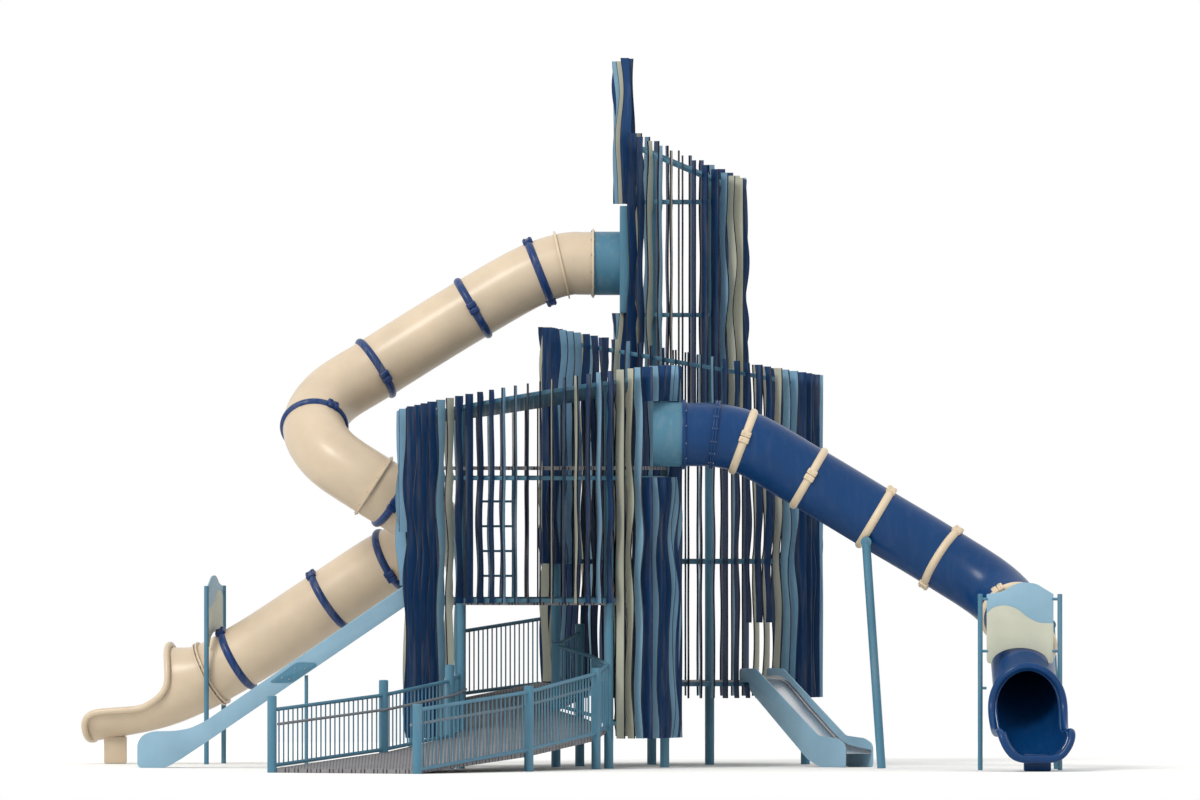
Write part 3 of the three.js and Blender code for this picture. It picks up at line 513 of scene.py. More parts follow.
# %% Where the boards are and what colour they are
TOP_INSET = 82.0
COLOURS = {"n": "navy", "l": "light_blue", "t": "tan"}
FRONT_ORDER = "lllnnnnnltnnnnllnntntnlnttlnlnnllnl" + "nnltnnlnnttnlnnllnntnlnnltnnlnntnnl"
MID_ORDER = "ttnnnlllnnntlnnnnnllnnnnntllnnnnll" + "nnltnnlnnttnlnnllnntnlnnltnnlnntnn"
TALL_ORDER = "ltnnntltnnnnlttnn" + "nltnnlnntnnltnnln"
DOOR_HEAD = 2021.0
SPIRE_TOP = 8738.0
FRONT_GAPS = (
    (234, 302.5, None, DOOR_HEAD), (61, 124, None, DOOR_HEAD), (179, 197, None, 2890.0),
    (163, 179, None, 2230.0), (320, 351.5, 3562.0, 4494.0),
)
MID_GAPS = ((187, 225, 1028.0, 2486.0), (297, 313, 1028.0, 1764.0))
TALL_GAPS = (
    (165, 200, 5584.0, 6936.0, SPIRE_TOP - 40), (142, 218, 5584.0, 6936.0, SPIRE_TOP),
)
STRAIGHT_CHANCE = 0.12
STRAIGHT_DEPTH = 8.0
FLOWS = ((1.6, 3), (0.9, 7))
DEPTH_SHARES = (0.7, 1.0)
LENGTH_SHARES = (0.94, 1.06)
OUTER_SHIFT = 0.4
INNER_SHIFT = 0.9
BOARD_SMOOTHING = 12


def spans(tower, gaps, angle):
    """The heights between which a board runs, as one span or two."""
    top = top_plane(tower, tower["radius"] - TOP_INSET, angle)
    for start, end, sill, head, *spire in gaps:
        if start < angle < end:
            above = (head, *(spire or [top]))
            return [(tower["foot"], sill), above] if sill else [above]
    return [(tower["foot"], top)]


def board_wave(draws, angle):
    """A board's wave: its depth, its length and where its outer and inner edges start."""
    straight = draws.random() < STRAIGHT_CHANCE
    flow = sum(size * math.sin(math.radians(angle) * rate) for size, rate in FLOWS)
    return (
        STRAIGHT_DEPTH if straight else draws.uniform(*DEPTH_SHARES) * WAVE_DEPTH,
        WAVE_LENGTH * draws.uniform(*LENGTH_SHARES),
        flow + draws.uniform(-OUTER_SHIFT, OUTER_SHIFT),
        flow + draws.uniform(-INNER_SHIFT, INNER_SHIFT),
    )


def clad(tower, name, order, gaps, seed, nodes):
    """All the boards of one tower, as one piece for each colour."""
    draws = random.Random(seed)
    pieces = {mark: ([], [], [], []) for mark in COLOURS}
    for i in range(tower["boards"]):
        theta = tower["turn"] + 360 / tower["boards"] * (i - tower["boards"] // 4)
        angle = (270 + theta) % 360
        wave = board_wave(draws, angle)
        shade = draws.random()
        points, faces, marks, shades = pieces[order[i]]
        for low, high in spans(tower, gaps, angle):
            new_points, new_faces, new_marks = board_points(tower, angle, low, high, wave)
            first = len(points)
            points.extend(new_points)
            faces.extend(tuple(v + first for v in face) for face in new_faces)
            marks.extend(new_marks)
            shades.extend([shade] * len(new_faces))
    for mark, (points, faces, marks, shades) in pieces.items():
        obj = mesh_object(name + "_boards_" + COLOURS[mark], points, faces)
        obj.data.materials.append(board_faces[COLOURS[mark]])
        obj.data.materials.append(board_core)
        obj.data.polygons.foreach_set("material_index", marks)
        shade_of = obj.data.attributes.new("shade", "FLOAT", "FACE")
        shade_of.data.foreach_set("value", shades)
        stands_for = [name + "_" + node for node in nodes] if mark == "n" else ()
        hand_over(obj, obj.name, None, stands_for, BOARD_SMOOTHING)


clad(FRONT, "front_tower", FRONT_ORDER, FRONT_GAPS, 11, (
    "screen_over_entrance", "screen_right_front", "screen_right_back", "screen_over_back_exit",
    "screen_left_back", "screen_left_front",
))
clad(MID, "mid_tower", MID_ORDER, MID_GAPS, 23, (
    "screen_left_front", "screen_right_front", "screen_right_back", "screen_left_back",
))
clad(TALL, "tall_tower", TALL_ORDER, TALL_GAPS, 37, (
    "screen_front", "screen_right", "screen_back", "spire", "screen_below_slide",
))

# %% [markdown]
# ## Rings that carry the boards
# The boards are screwed to rings of square steel tube inside them: level ones, and one at the
# top that slopes with the boards' tops. A square is added where the tube starts and spun round
# the tower's axis in edit mode; where a doorway interrupts a ring, the spin stops short. A
# positive spin goes clockwise as seen from above, against the angles of the plan, so the angle
# is negative. The sloping ring is a level one that is sheared upwards.

# %% Rings that carry the boards
RING_STEPS_PER_TURN = 120
RING_EASE = 4.0
RING_GAP = 1.0


def tilted(obj, tower):
    """Shears a level piece up into the plane of the tops of a tower's boards."""
    for vertex in obj.data.vertices:
        x = vertex.co.x / MM - AXIS_X - tower["axis"][0]
        y = vertex.co.y / MM - AXIS_Y - tower["axis"][1]
        vertex.co.z += (tower["slope_x"] * x + tower["slope_y"] * y) * MM
    return obj


def ring_bar(tower, z, start=0.0, sweep=360.0):
    """An arc of square tube inside a tower's boards, its corners eased."""
    middle = tower["radius"] - BOARD_DEPTH - RING_GAP - RING_BAR / 2
    deselect()
    place = at(*plan_point(tower["axis"], start, middle), z)
    turn = (math.radians(90), 0, math.radians(start))
    bpy.ops.mesh.primitive_plane_add(size=RING_BAR * MM, location=place, rotation=turn)
    obj = settle(bpy.context.object)
    bpy.ops.object.mode_set(mode="EDIT")
    bpy.ops.mesh.select_all(action="SELECT")
    bpy.ops.mesh.bevel(offset=RING_EASE * MM, segments=2, affect="VERTICES")
    bpy.ops.mesh.select_all(action="SELECT")
    if sweep >= 360:
        bpy.ops.mesh.delete(type="ONLY_FACE")
        bpy.ops.mesh.select_all(action="SELECT")
    bpy.ops.mesh.spin(
        steps=max(3, round(RING_STEPS_PER_TURN * sweep / 360)), angle=-math.radians(sweep),
        center=at(*tower["axis"], z), axis=(0, 0, 1), use_auto_merge=True,
    )
    bpy.ops.object.mode_set(mode="OBJECT")
    return obj


FULL = ((0.0, 360.0),)
FRONT_ARCS = (((-56.3, 112.6), (128.4, 103.2)), ((199.0, 340.0),), FULL)


def tower_rings(tower, name, arcs):
    """The rings of one tower as one piece. arcs lists (start, sweep) for each level ring."""
    bars = []
    for z, level_arcs in zip(tower["rings"], arcs):
        bars.extend(outward(ring_bar(tower, z, *arc)) for arc in level_arcs)
    top = tilted(ring_bar(tower, tower["height"] - tower["drop"]), tower)
    hand_over(joined([*bars, outward(top)]), name, teal_paint)


tower_rings(FRONT, "front_tower_rings", FRONT_ARCS)
tower_rings(MID, "mid_tower_rings", (FULL, FULL, FULL))
tower_rings(TALL, "tall_tower_rings", (FULL, FULL, FULL))

# %% [markdown]
# ## Posts
# The posts are round steel tubes with welded caps. A cylinder is added at each post's place and
# height; its top face is selected, inset and drawn up a little for the cap's dome, and the edges
# are eased. The CAD posts have ten flats, so these rounder ones take their place.

# %% Posts
POST_SIDES = 36
CAP_HEIGHT = 7.0
CAP_INSETS = (0.05, 0.12)


def select_faces(obj, wanted):
    """Selects, in edit mode, the faces whose centre and normal pass the test."""
    choose(obj)
    for polygon in obj.data.polygons:
        polygon.select = False
    for edge in obj.data.edges:
        edge.select = False
    for vertex in obj.data.vertices:
        vertex.select = False
    for polygon in obj.data.polygons:
        polygon.select = wanted(polygon.center, polygon.normal)
    bpy.ops.object.mode_set(mode="EDIT")
    bpy.ops.mesh.select_mode(type="FACE")


def steel_post(x, y, height, diameter=POST_DIAMETER):
    """A round post from the ground, with a shallow domed cap."""
    obj = cylinder(diameter / 2, height, at(x, y, height / 2), POST_SIDES)
    select_faces(obj, lambda centre, normal: normal.z > 0.9)
    for share in CAP_INSETS:
        bpy.ops.mesh.inset(thickness=diameter * share * MM, depth=CAP_HEIGHT / 2 * MM)
    bpy.ops.object.mode_set(mode="OBJECT")
    return obj


def tower_post(tower, name, x, y, rise):
    """A post that ends just under a tower's top ring, the rise being the ring's slope there."""
    height = tower["height"] + rise - tower["drop"] - CAP_HEIGHT
    post = steel_post(tower["axis"][0] + x, tower["axis"][1] + y, height)
    hand_over(post, name + "_round", teal_paint, [name])


ROUND_POSTS = (
    (FRONT, "front_tower_post_entrance_left", 231.6),
    (FRONT, "front_tower_post_entrance_right", 303.7), (FRONT, "front_tower_post_right", 0.0),
    (FRONT, "front_tower_post_back_right", 56.3), (FRONT, "front_tower_post_back_left", 128.4),
    (FRONT, "front_tower_post_left", 180.0), (MID, "mid_tower_post_left", 180.0),
    (MID, "mid_tower_post_right", 0.0),
)
for tower, name, angle in ROUND_POSTS:
    x, y = plan_point((0.0, 0.0), angle, POST_CIRCLE)
    tower_post(tower, name, x, y, tower["slope_x"] * x + tower["slope_y"] * y)

TALL_POST_OFFSET = 358.0
for side, sign_x in (("left", -1), ("right", 1)):
    for end, sign_y in (("front", -1), ("back", 1)):
        x, y = sign_x * TALL_POST_OFFSET, sign_y * TALL_POST_OFFSET
        tower_post(TALL, "tall_tower_post_" + side + "_" + end, x, y, TALL["slope_x"] * x)

# %% [markdown]
# ## Decks
# The decks are flat and already the right shape in the CAD, cut round every post, so they stay.
# They only need their real finish: rubber-coated punched plate.

# %% Decks
DECKS = (
    "front_tower_upper_deck", "front_tower_landing", "mid_tower_deck", "tall_tower_deck",
    "ramp_lower_deck", "ramp_middle_deck", "ramp_upper_deck",
)
for name in DECKS:
    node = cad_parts[name]
    node.data.materials.clear()
    node.data.materials.append(deck_coating)
print("decks finished:", len(DECKS))

# %% [markdown]
# ## Round bars and tubes
# Rails, pickets, rungs and poles are all round bars along a line. A curve with a round bevel
# gives that at once, with as many separate lines in one object as a railing needs, and is then
# converted to a mesh, because a piece has to carry its place in its mesh.

# %% Round bars
BAR_RESOLUTION = 3


def round_bars(lines, diameter, resolution=BAR_RESOLUTION, closed=False):
    """One mesh of round bars: each line is a list of points in metres, closed for a hoop."""
    curve = bpy.data.curves.new("bars", "CURVE")
    curve.dimensions = "3D"
    curve.bevel_depth = diameter / 2 * MM
    curve.bevel_resolution = resolution
    curve.use_fill_caps = True
    for line in lines:
        spline = curve.splines.new("POLY")
        spline.points.add(len(line) - 1)
        for place, point in zip(spline.points, line):
            place.co = (*point, 1.0)
        spline.use_cyclic_u = closed
    obj = bpy.data.objects.new("bars", curve)
    bpy.context.scene.collection.objects.link(obj)
    choose(obj)
    bpy.ops.object.convert(target="MESH")
    return outward(bpy.context.view_layer.objects.active)


# %% [markdown]
# ## The front tower's lid
# A perforated sheet closes the top of the front tower in the plane of its sloping ring. Seen
# edge-on it is a band of teal with light through it. A grid is added, cut to a disc in edit mode
# and given its holes with the Wireframe modifier, which leaves a strip along every edge, and it
# is then sheared into the sloping plane.

# %% Lid
LID_RADIUS = 1545.0
LID_CELLS = 52
LID_STRIP = 22.0
LID_DROP = 20.0
LID_FLATTEN = 0.35


def perforated_lid():
    deselect()
    level = at(*FRONT["axis"], FRONT["height"] - FRONT["drop"] - LID_DROP)
    bpy.ops.mesh.primitive_grid_add(
        x_subdivisions=LID_CELLS, y_subdivisions=LID_CELLS, size=2 * LID_RADIUS * MM, location=level
    )
    obj = settle(bpy.context.object)
    centre = at(0, 0, 0)
    select_faces(obj, lambda middle, normal: (middle - centre).xy.length > LID_RADIUS * MM)
    bpy.ops.mesh.delete(type="FACE")
    bpy.ops.object.mode_set(mode="OBJECT")
    lattice = obj.modifiers.new("lattice", "WIREFRAME")
    lattice.thickness = LID_STRIP * MM
    apply_modifiers(obj)
    for vertex in obj.data.vertices:
        vertex.co.z = level.z + LID_FLATTEN * (vertex.co.z - level.z)
    return tilted(obj, FRONT)


hand_over(perforated_lid(), "front_tower_lid_mesh", teal_paint, ["front_tower_lid"])

# %% [markdown]
# ## Ladder
# A plain round-bar ladder climbs from the landing to the upper deck, with rungs 305 mm apart.

# %% Ladder
LADDER = dict(x=-525.0, y=640.0, width=420.0, foot=2041.0, head=3650.0, pitch=305.0, rail=42.0, rung=30.0)


def ladder():
    left, right = (LADDER["x"] + side * LADDER["width"] / 2 for side in (-1, 1))
    y, foot, head = LADDER["y"], LADDER["foot"], LADDER["head"]
    rails = [[at(x, y, foot), at(x, y, head)] for x in (left, right)]
    count = int((head - foot) / LADDER["pitch"])
    heights = [foot + LADDER["pitch"] * (k + 1) for k in range(count)]
    rungs = [[at(left, y, z), at(right, y, z)] for z in heights]
    return joined([round_bars(rails, LADDER["rail"]), round_bars(rungs, LADDER["rung"])])


hand_over(ladder(), "front_tower_ladder_round", teal_paint, ["front_tower_ladder"])

# %% [markdown]
# ## The line a tube slide follows
# A tube slide is moulded in lengths that are bolted end to end along one smooth line. The line
# passes through measured points, with a spline whose speed suits uneven spacing, and is then
# measured along its length, so that a joint can be put at a share of the way down. At any
# share it also gives three directions: ahead, sideways and level, and up out of the slide.

# %% The slide's line
SAMPLES_PER_SPAN = 60
DIRECTION_STEP = 0.002


def spline_points(points):
    """Many points on a centripetal spline through a few, in millimetres."""
    p = [np.array(q, float) for q in points]
    p = [2 * p[0] - p[1], *p, 2 * p[-1] - p[-2]]
    line = []
    for i in range(1, len(p) - 2):
        spans = [np.linalg.norm(p[i + k] - p[i + k - 1]) ** 0.5 for k in (0, 1, 2)]
        d0, d1, d2 = spans
        t1 = (p[i] - p[i - 1]) / d0 - (p[i + 1] - p[i - 1]) / (d0 + d1) + (p[i + 1] - p[i]) / d1
        t2 = (p[i + 1] - p[i]) / d1 - (p[i + 2] - p[i]) / (d1 + d2) + (p[i + 2] - p[i + 1]) / d2
        t1, t2 = t1 * d1, t2 * d1
        for k in range(SAMPLES_PER_SPAN):
            w = k / SAMPLES_PER_SPAN
            square, cube = w * w, w * w * w
            rise = (-3 * p[i] + 3 * p[i + 1] - 2 * t1 - t2) * square
            line.append(p[i] + t1 * w + rise + (2 * p[i] - 2 * p[i + 1] + t1 + t2) * cube)
    line.append(p[-2])
    return np.array(line)


class Track:
    """A slide's centre line, measured along its length."""

    def __init__(self, points):
        self.line = spline_points(points)
        steps = np.linalg.norm(np.diff(self.line, axis=0), axis=1)
        self.length = float(steps.sum())
        self.share = np.concatenate([[0.0], np.cumsum(steps)]) / self.length

    def centre(self, share):
        return np.array([np.interp(share, self.share, self.line[:, k]) for k in range(3)])

    def directions(self, share):
        low, high = max(share - DIRECTION_STEP, 0.0), min(share + DIRECTION_STEP, 1.0)
        ahead = self.centre(high) - self.centre(low)
        ahead = ahead / np.linalg.norm(ahead)
        side = np.array([ahead[1], -ahead[0], 0.0])
        side = side / np.linalg.norm(side)
        return ahead, side, np.cross(side, ahead)

    def near(self, *point):
        return float(self.share[np.argmin(np.linalg.norm(self.line - np.array(point), axis=1))])

    def passes(self, axis, value):
        """The share at which the end of the line passes a value of x, 0, or y, 1."""
        end = slice(None, -3 * SAMPLES_PER_SPAN, -1)
        return float(np.interp(value, self.line[end, axis], self.share[end]))


BEIGE = Track((
    (652, 3100, 6199), (520, 3100, 6199), (380, 3100, 6199), (-30, 3100, 6080), (-821, 3100, 5645),
    (-2025, 3100, 4900), (-2591, 2910, 4530), (-2781, 2450, 4180), (-2591, 1990, 3830),
    (-2040, 1800, 3450), (-1490, 1990, 3110), (-1300, 2450, 2880), (-1490, 2910, 2700),
    (-1950, 3120, 2460), (-2602, 3240, 2033), (-3741, 3480, 1300), (-4640, 3672, 860),
    (-5660, 3890, 650),
))
BLUE = Track((
    (1800, -700, 4085), (1950, -700, 4085), (2100, -700, 4085), (2504, -700, 4000),
    (3306, -700, 3550), (4118, -700, 3064), (4938, -700, 2573), (5600, -960, 2130),
    (5880, -1600, 1740), (5905, -2300, 1330), (5930, -3000, 960), (5985, -3900, 560),
    (6060, -4400, 520),
))
print("beige slide", round(BEIGE.length), "mm along its line, blue slide", round(BLUE.length))

# %% [markdown]
# ## Moulded tube
# A length of tube is a ring of points carried down the line along its outside and back along its
# inside. A bevelled curve would give the outside only and could twist; numbers keep each ring
# level. Where a slide nears its end, the upper half is lifted more and more into a hood.

# %% Moulded tube
TUBE_OUTER = 389.0
TUBE_WALL = 8.0
TUBE_SIDES = 48
TUBE_STEP = 70.0
HOOD_EASE = 1.3


def ring_point(track, share, radius, angle, lift=0.0):
    """A point round the slide's line; the lift draws the upper half of the ring up."""
    ahead, side, up = track.directions(share)
    rise = radius * math.sin(angle) + max(0.0, math.sin(angle)) * lift
    return at(*(track.centre(share) + radius * math.cos(angle) * side + rise * up))


def skin_rows(rows, closed):
    """A solid from rows of points round an outside and back along an inside."""
    around = len(rows[0])
    faces = []
    for i in range(len(rows) - 1):
        for k in range(around):
            a = i * around + k
            b = i * around + (k + 1) % around
            faces.append((a, a + around, b + around, b))
    if not closed:
        faces.append(tuple(range(around)))
        last = (len(rows) - 1) * around
        faces.append(tuple(last + k for k in range(around - 1, -1, -1)))
    return outward(mesh_object("skin", [point for row in rows for point in row], faces))


def tube_length(track, start, end, outer=TUBE_OUTER, wall=TUBE_WALL, lift=0.0, steps=None):
    """A length of tube with its wall, between two shares of the line."""
    steps = steps or max(2, round((end - start) * track.length / TUBE_STEP))
    angles = [-2 * math.pi * k / TUBE_SIDES for k in range(TUBE_SIDES)]
    rows = []
    for radius in (outer, outer - wall):
        skin = []
        for i in range(steps + 1):
            share = start + (end - start) * i / steps
            rise = lift * (i / steps) ** HOOD_EASE
            skin.append([ring_point(track, share, radius, angle, rise) for angle in angles])
        rows.extend(skin[::-1] if rows else skin)
    return skin_rows([*rows, rows[0]], closed=True)


# %% [markdown]
# ## Open run-outs
# Past the hood the top opens and the tube runs out as a channel with a rolled rim. A table
# gives, at a few places along the end, how far round the edge still reaches above level and how
# far the hood is lifted; a spline through it gives the rest. The rim is a round bar along both
# edges and across the lip.

# %% Open run-outs
TROUGH_WALL = 14.0
HOOD_SEAT = 2.0
HOOD_STEPS = 6
OPEN_SIDES = 30
LIP_SINK = 20.0
RIM_RESOLUTION = 5
HOOD_OUTER = TUBE_OUTER + HOOD_SEAT
HOOD_WALL = TROUGH_WALL + HOOD_SEAT


def open_hood(track, axis, table, rim, rim_out):
    """The open part: table lists (place along, degrees its edge is above level, lift)."""
    stations = spline_points(table)[:: SAMPLES_PER_SPAN // 4]
    rows, left, right, lip = [], [], [], []
    for place, degrees, lift in stations:
        share = track.passes(axis, place)
        edge = math.radians(degrees)
        low, high = math.pi - edge, 2 * math.pi + edge
        angles = [low + (high - low) * k / OPEN_SIDES for k in range(OPEN_SIDES + 1)]
        outside, inside = (
            [ring_point(track, share, radius, angle, lift) for angle in angles]
            for radius in (HOOD_OUTER, HOOD_OUTER - HOOD_WALL)
        )
        rows.append(outside + inside[::-1])
        left.append(ring_point(track, share, TUBE_OUTER + rim_out, low, lift))
        right.append(ring_point(track, share, TUBE_OUTER + rim_out, high, lift))
    for k in range(1, OPEN_SIDES):
        sunk = (1 - math.cos(2 * math.pi * k / OPEN_SIDES)) / 2
        radius = TUBE_OUTER + rim_out - sunk * (rim_out + LIP_SINK)
        lip.append(ring_point(track, share, radius, angles[k]))
    body = skin_rows(rows, closed=False)
    return joined([body, round_bars([left + lip + right[::-1]], rim, RIM_RESOLUTION, closed=True)])


# %% [markdown]
# ## Clamp rings and flanges
# Painted steel hoops grip the tube where its lengths meet, each closed by one or two small
# bolted clamps. A torus is added with its axis along the slide; a clamp's two ears are cubes
# with eased edges and its bolts six-sided cylinders. A flange is a flat ring.

# %% Clamp rings and flanges
RING_OUTER = 426.0
RING_BAND = 52.0
RING_SEAT = 386.0
CLAMP_SIZES = (72.0, 124.0, 58.0)
CLAMP_GAP = 3.0
CLAMP_SINK = 14.0
CLAMP_EASE = 12.0
CLAMP_BOLT = dict(radius=11.0, length=16.0, off=34.0)
FLANGE_OUTER = 428.0
FLANGE_THICKNESS = 24.0
FLANGE_SINK = 1.0
FLANGE_EASE = 3.0
FLANGE_BOLT = dict(radius=9.0, circle=413.0)
BOLT_SIDES = 6


def along(track, share):
    """The turn that lays an object's own Z axis along the slide."""
    ahead = Vector(track.directions(share)[0])
    return ahead.to_track_quat("Z", "Y").to_euler()


def split_clamp(centre, ahead, out, hoop_way):
    """Two ears that close a hoop, each with two bolt heads on its outside."""
    turn = Matrix((hoop_way, ahead, out)).transposed().to_euler()
    length, _, height = CLAMP_SIZES
    parts = []
    for way in (-1, 1):
        shift = way * (length / 2 + CLAMP_GAP)
        place = centre + out * (RING_OUTER - CLAMP_SINK) * MM + hoop_way * shift * MM
        parts.append(rounded(cube(place, CLAMP_SIZES, turn), CLAMP_EASE, segments=3))
        for side in (-1, 1):
            over = out * (height / 2 + CLAMP_GAP) * MM
            bolt_place = place + ahead * side * CLAMP_BOLT["off"] * MM + over
            bolt = cylinder(CLAMP_BOLT["radius"], CLAMP_BOLT["length"], bolt_place, BOLT_SIDES, turn)
            parts.append(bolt)
    return joined(parts)


def clamp_ring(track, share, clock):
    """A hoop of D section round the slide; clock places its clamps, 0 nearest and 90 on top."""
    deselect()
    centre = at(*track.centre(share))
    bpy.ops.mesh.primitive_torus_add(
        major_radius=(RING_OUTER - RING_BAND) * MM, minor_radius=RING_BAND * MM,
        major_segments=84, minor_segments=24, location=centre, rotation=along(track, share),
    )
    hoop = settle(bpy.context.object)
    ahead = Vector(track.directions(share)[0])
    for vertex in hoop.data.vertices:
        off = vertex.co - centre
        level = ahead * off.dot(ahead)
        if (off - level).length < RING_SEAT * MM:
            vertex.co = centre + level + (off - level).normalized() * RING_SEAT * MM
    viewer = Vector((0, -1, 0))
    near = (viewer - ahead * ahead.dot(viewer)).normalized()
    above = near.cross(ahead)
    if above.z < 0:
        above = -above
    parts = [hoop]
    for degrees in clock:
        turn = math.radians(degrees)
        out = near * math.cos(turn) + above * math.sin(turn)
        parts.append(split_clamp(centre, ahead, out, ahead.cross(out)))
    return joined(parts)


def flange(track, share, thickness=FLANGE_THICKNESS):
    """A flat ring round the tube, kept within the line's ends."""
    half = thickness / 2 / track.length
    start = min(max(share - half, 0.0), 1.0 - 2 * half)
    wall = FLANGE_OUTER - TUBE_OUTER + FLANGE_SINK
    return rounded(tube_length(track, start, start + 2 * half, FLANGE_OUTER, wall), FLANGE_EASE)


def flange_bolts(track, share, count=12, reach=46.0):
    """Bolts through a flange, whose heads show where their reach is more than its thickness."""
    heads = []
    for k in range(count):
        place = ring_point(track, share, FLANGE_BOLT["circle"], 2 * math.pi * (k + 0.5) / count)
        heads.append(cylinder(FLANGE_BOLT["radius"], reach, place, BOLT_SIDES, along(track, share)))
    return joined(heads)


# %% [markdown]
# ## What both tube slides share
# Each slide is built in the same order: its lengths of tube, which butt with a gap too thin to
# see, its run-out with a rim and a foot, and its clamp rings.

# %% What both tube slides share
SEAM = 0.00003
FOOT_EASE = 20.0


def tube_lengths(track, material, lengths):
    """A slide's lengths of tube, each between two shares of its line."""
    for name, start, end in lengths:
        body = tube_length(track, start + SEAM, end - SEAM)
        hand_over(body, name + "_tube", material, [name])


def rounded_box(limits, ease):
    """A box with eased edges, from its limits along x, y and z in millimetres."""
    middle = at(*((low + high) / 2 for low, high in limits))
    return rounded(cube(middle, [high - low for low, high in limits]), ease)


def run_out(track, name, material, start, axis, mouth, rim, rim_out, foot):
    """A slide's end, from the share where its hood starts; axis 0 is x and 1 is y."""
    place, _, lift = mouth[0]
    end = track.passes(axis, place)
    parts = [
        tube_length(track, start + SEAM, end, HOOD_OUTER, HOOD_WALL, lift, HOOD_STEPS),
        open_hood(track, axis, mouth, rim, rim_out),
        rounded_box(foot, FOOT_EASE),
    ]
    hand_over(joined(parts), name + "_hood", material, [name])


def clamp_rings(track, name, material, rings):
    """All of a slide's clamp rings, from a point near each and where its clamps are."""
    hoops = [clamp_ring(track, track.near(*place), clock) for place, clock in rings]
    hand_over(joined(hoops), name, material)


# %% [markdown]
# ## The beige slide
# It leaves the tall tower's portal, makes one full turn on its way to the left and ends in an
# open run-out. Its rings are navy. Bolted flanges of its own plastic join it halfway down and
# where the hood starts.

# %% The beige slide
BEIGE_NECK = BEIGE.near(272, 3100, 6193)
BEIGE_TOP = BEIGE.near(-821, 3100, 5645)
BEIGE_HALF = BEIGE.near(-2040, 1800, 3450)
BEIGE_LOW = BEIGE.near(-1950, 3120, 2460)
BEIGE_HOOD = BEIGE.passes(0, -4070)
BEIGE_MOUTH = (
    (-4361, 86, 130), (-4385, 60, 135), (-4420, 34, 136), (-4480, 13, 125), (-4580, 0, 90),
    (-4720, -9, 40), (-4880, -14, 0), (-5120, -11, 0), (-5400, -8, 0), (-5490, -10, 0),
    (-5555, -16, 0), (-5595, -27, 0), (-5612, -42, 0),
)
RIDGE_OFFSET = 22 / BEIGE.length
tube_lengths(BEIGE, beige_plastic, (
    ("beige_slide_neck", 0.0, BEIGE_NECK),
    ("beige_slide_entry", BEIGE_NECK, BEIGE_TOP),
    ("beige_slide_upper_bend", BEIGE_TOP, BEIGE_HALF),
    ("beige_slide_lower_bend", BEIGE_HALF, BEIGE_LOW),
    ("beige_slide_lower_run", BEIGE_LOW, BEIGE_HOOD),
))
run_out(
    BEIGE, "beige_slide_run_out", beige_plastic, BEIGE_HOOD, 0, BEIGE_MOUTH,
    rim=80, rim_out=32, foot=((-5400, -5118), (3730, 3890), (0, 340)),
)
clamp_rings(BEIGE, "beige_slide_clamp_rings", navy_ring_paint, (
    ((6, 3100, 6090), (82, -82)), ((-821, 3100, 5645), (0,)), ((-2025, 3100, 4900), (-22,)),
    ((-2781, 2450, 4180), (35, 200)), ((-1830, 1850, 3320), (-12,)), ((-1838, 3080, 2530), (-25,)),
    ((-2602, 3240, 2033), (70,)), ((-3741, 3480, 1290), (75,)),
))
double_ridge = (BEIGE_HOOD - RIDGE_OFFSET, BEIGE_HOOD + RIDGE_OFFSET)
beige_flanges = [flange(BEIGE, share) for share in (BEIGE_HALF, *double_ridge)]
hand_over(joined(beige_flanges), "beige_slide_flanges", beige_plastic)
beige_bolts = [flange_bolts(BEIGE, share) for share in (BEIGE_HALF, BEIGE_HOOD)]
hand_over(joined(beige_bolts), "beige_slide_bolts", bolt_steel)

# %% [markdown]
# ## Steel sleeves and the portal
# A short painted sleeve carries each tube slide out through the boards, with a bolted rim where
# the plastic starts: cream on the beige slide, blue on the blue one. The beige slide's sleeve
# starts in a thick portal plate; its round hole is cut with the Boolean modifier, which is what
# a workshop's hole cutter would do.

# %% Steel sleeves and the portal
SLEEVE_OUTER = 393.0
SLEEVE_RIM = 0.97
BLUE_RIM_WIDTH = 42.0
PORTAL = ((994.0, 1116.0), (2650.0, 3550.0), (5585.4, 6909.0))
PORTAL_EASE = 12.0
PORTAL_BORE = dict(radius=387.0, z=6199.0, reach=400.0, sides=64)


def sleeve_piece(name, node, start, end, rim_material, rim_width):
    """A sleeve from its start to its end, with a rim and bolts of another material."""
    line = Track((start, end))
    hand_over(tube_length(line, 0.0, 1.0, SLEEVE_OUTER), name, teal_paint, [node])
    hand_over(flange(line, SLEEVE_RIM, rim_width), name + "_flanges", rim_material)
    hand_over(flange_bolts(line, SLEEVE_RIM), name + "_bolts", bolt_steel)


sleeve_piece(
    "beige_slide_steel_sleeve", "beige_slide_sleeve", (993.6, 3100, 6199), (652.4, 3100, 6199),
    tan_ring_paint, FLANGE_THICKNESS,
)
sleeve_piece(
    "blue_slide_steel_sleeve", "blue_slide_sleeve", (1399, -700, 4085), (1799.6, -700, 4085),
    blue_plastic, BLUE_RIM_WIDTH,
)
hand_over(flange(BEIGE, BEIGE_NECK), "beige_slide_entry_flange", tan_ring_paint)


def portal_plate():
    plate = rounded_box(PORTAL, PORTAL_EASE)
    middle = at(sum(PORTAL[0]) / 2, TALL["axis"][1], PORTAL_BORE["z"])
    across = (0, math.radians(90), 0)
    cutter = cylinder(PORTAL_BORE["radius"], PORTAL_BORE["reach"], middle, PORTAL_BORE["sides"], across)
    cut = plate.modifiers.new("hole", "BOOLEAN")
    cut.operation = "DIFFERENCE"
    cut.object = cutter
    apply_modifiers(plate)
    bpy.data.objects.remove(cutter)
    return plate


hand_over(portal_plate(), "beige_slide_portal_plate", teal_paint, ["beige_slide_portal"])

# %% [markdown]
# ## The blue slide
# It leaves the front tower to the right, runs straight down and then turns towards the viewer.
# Its clamp rings are cream. Its joint near the tower is a pair of bolted flanges of the same
# plastic, with a narrow gap between them.

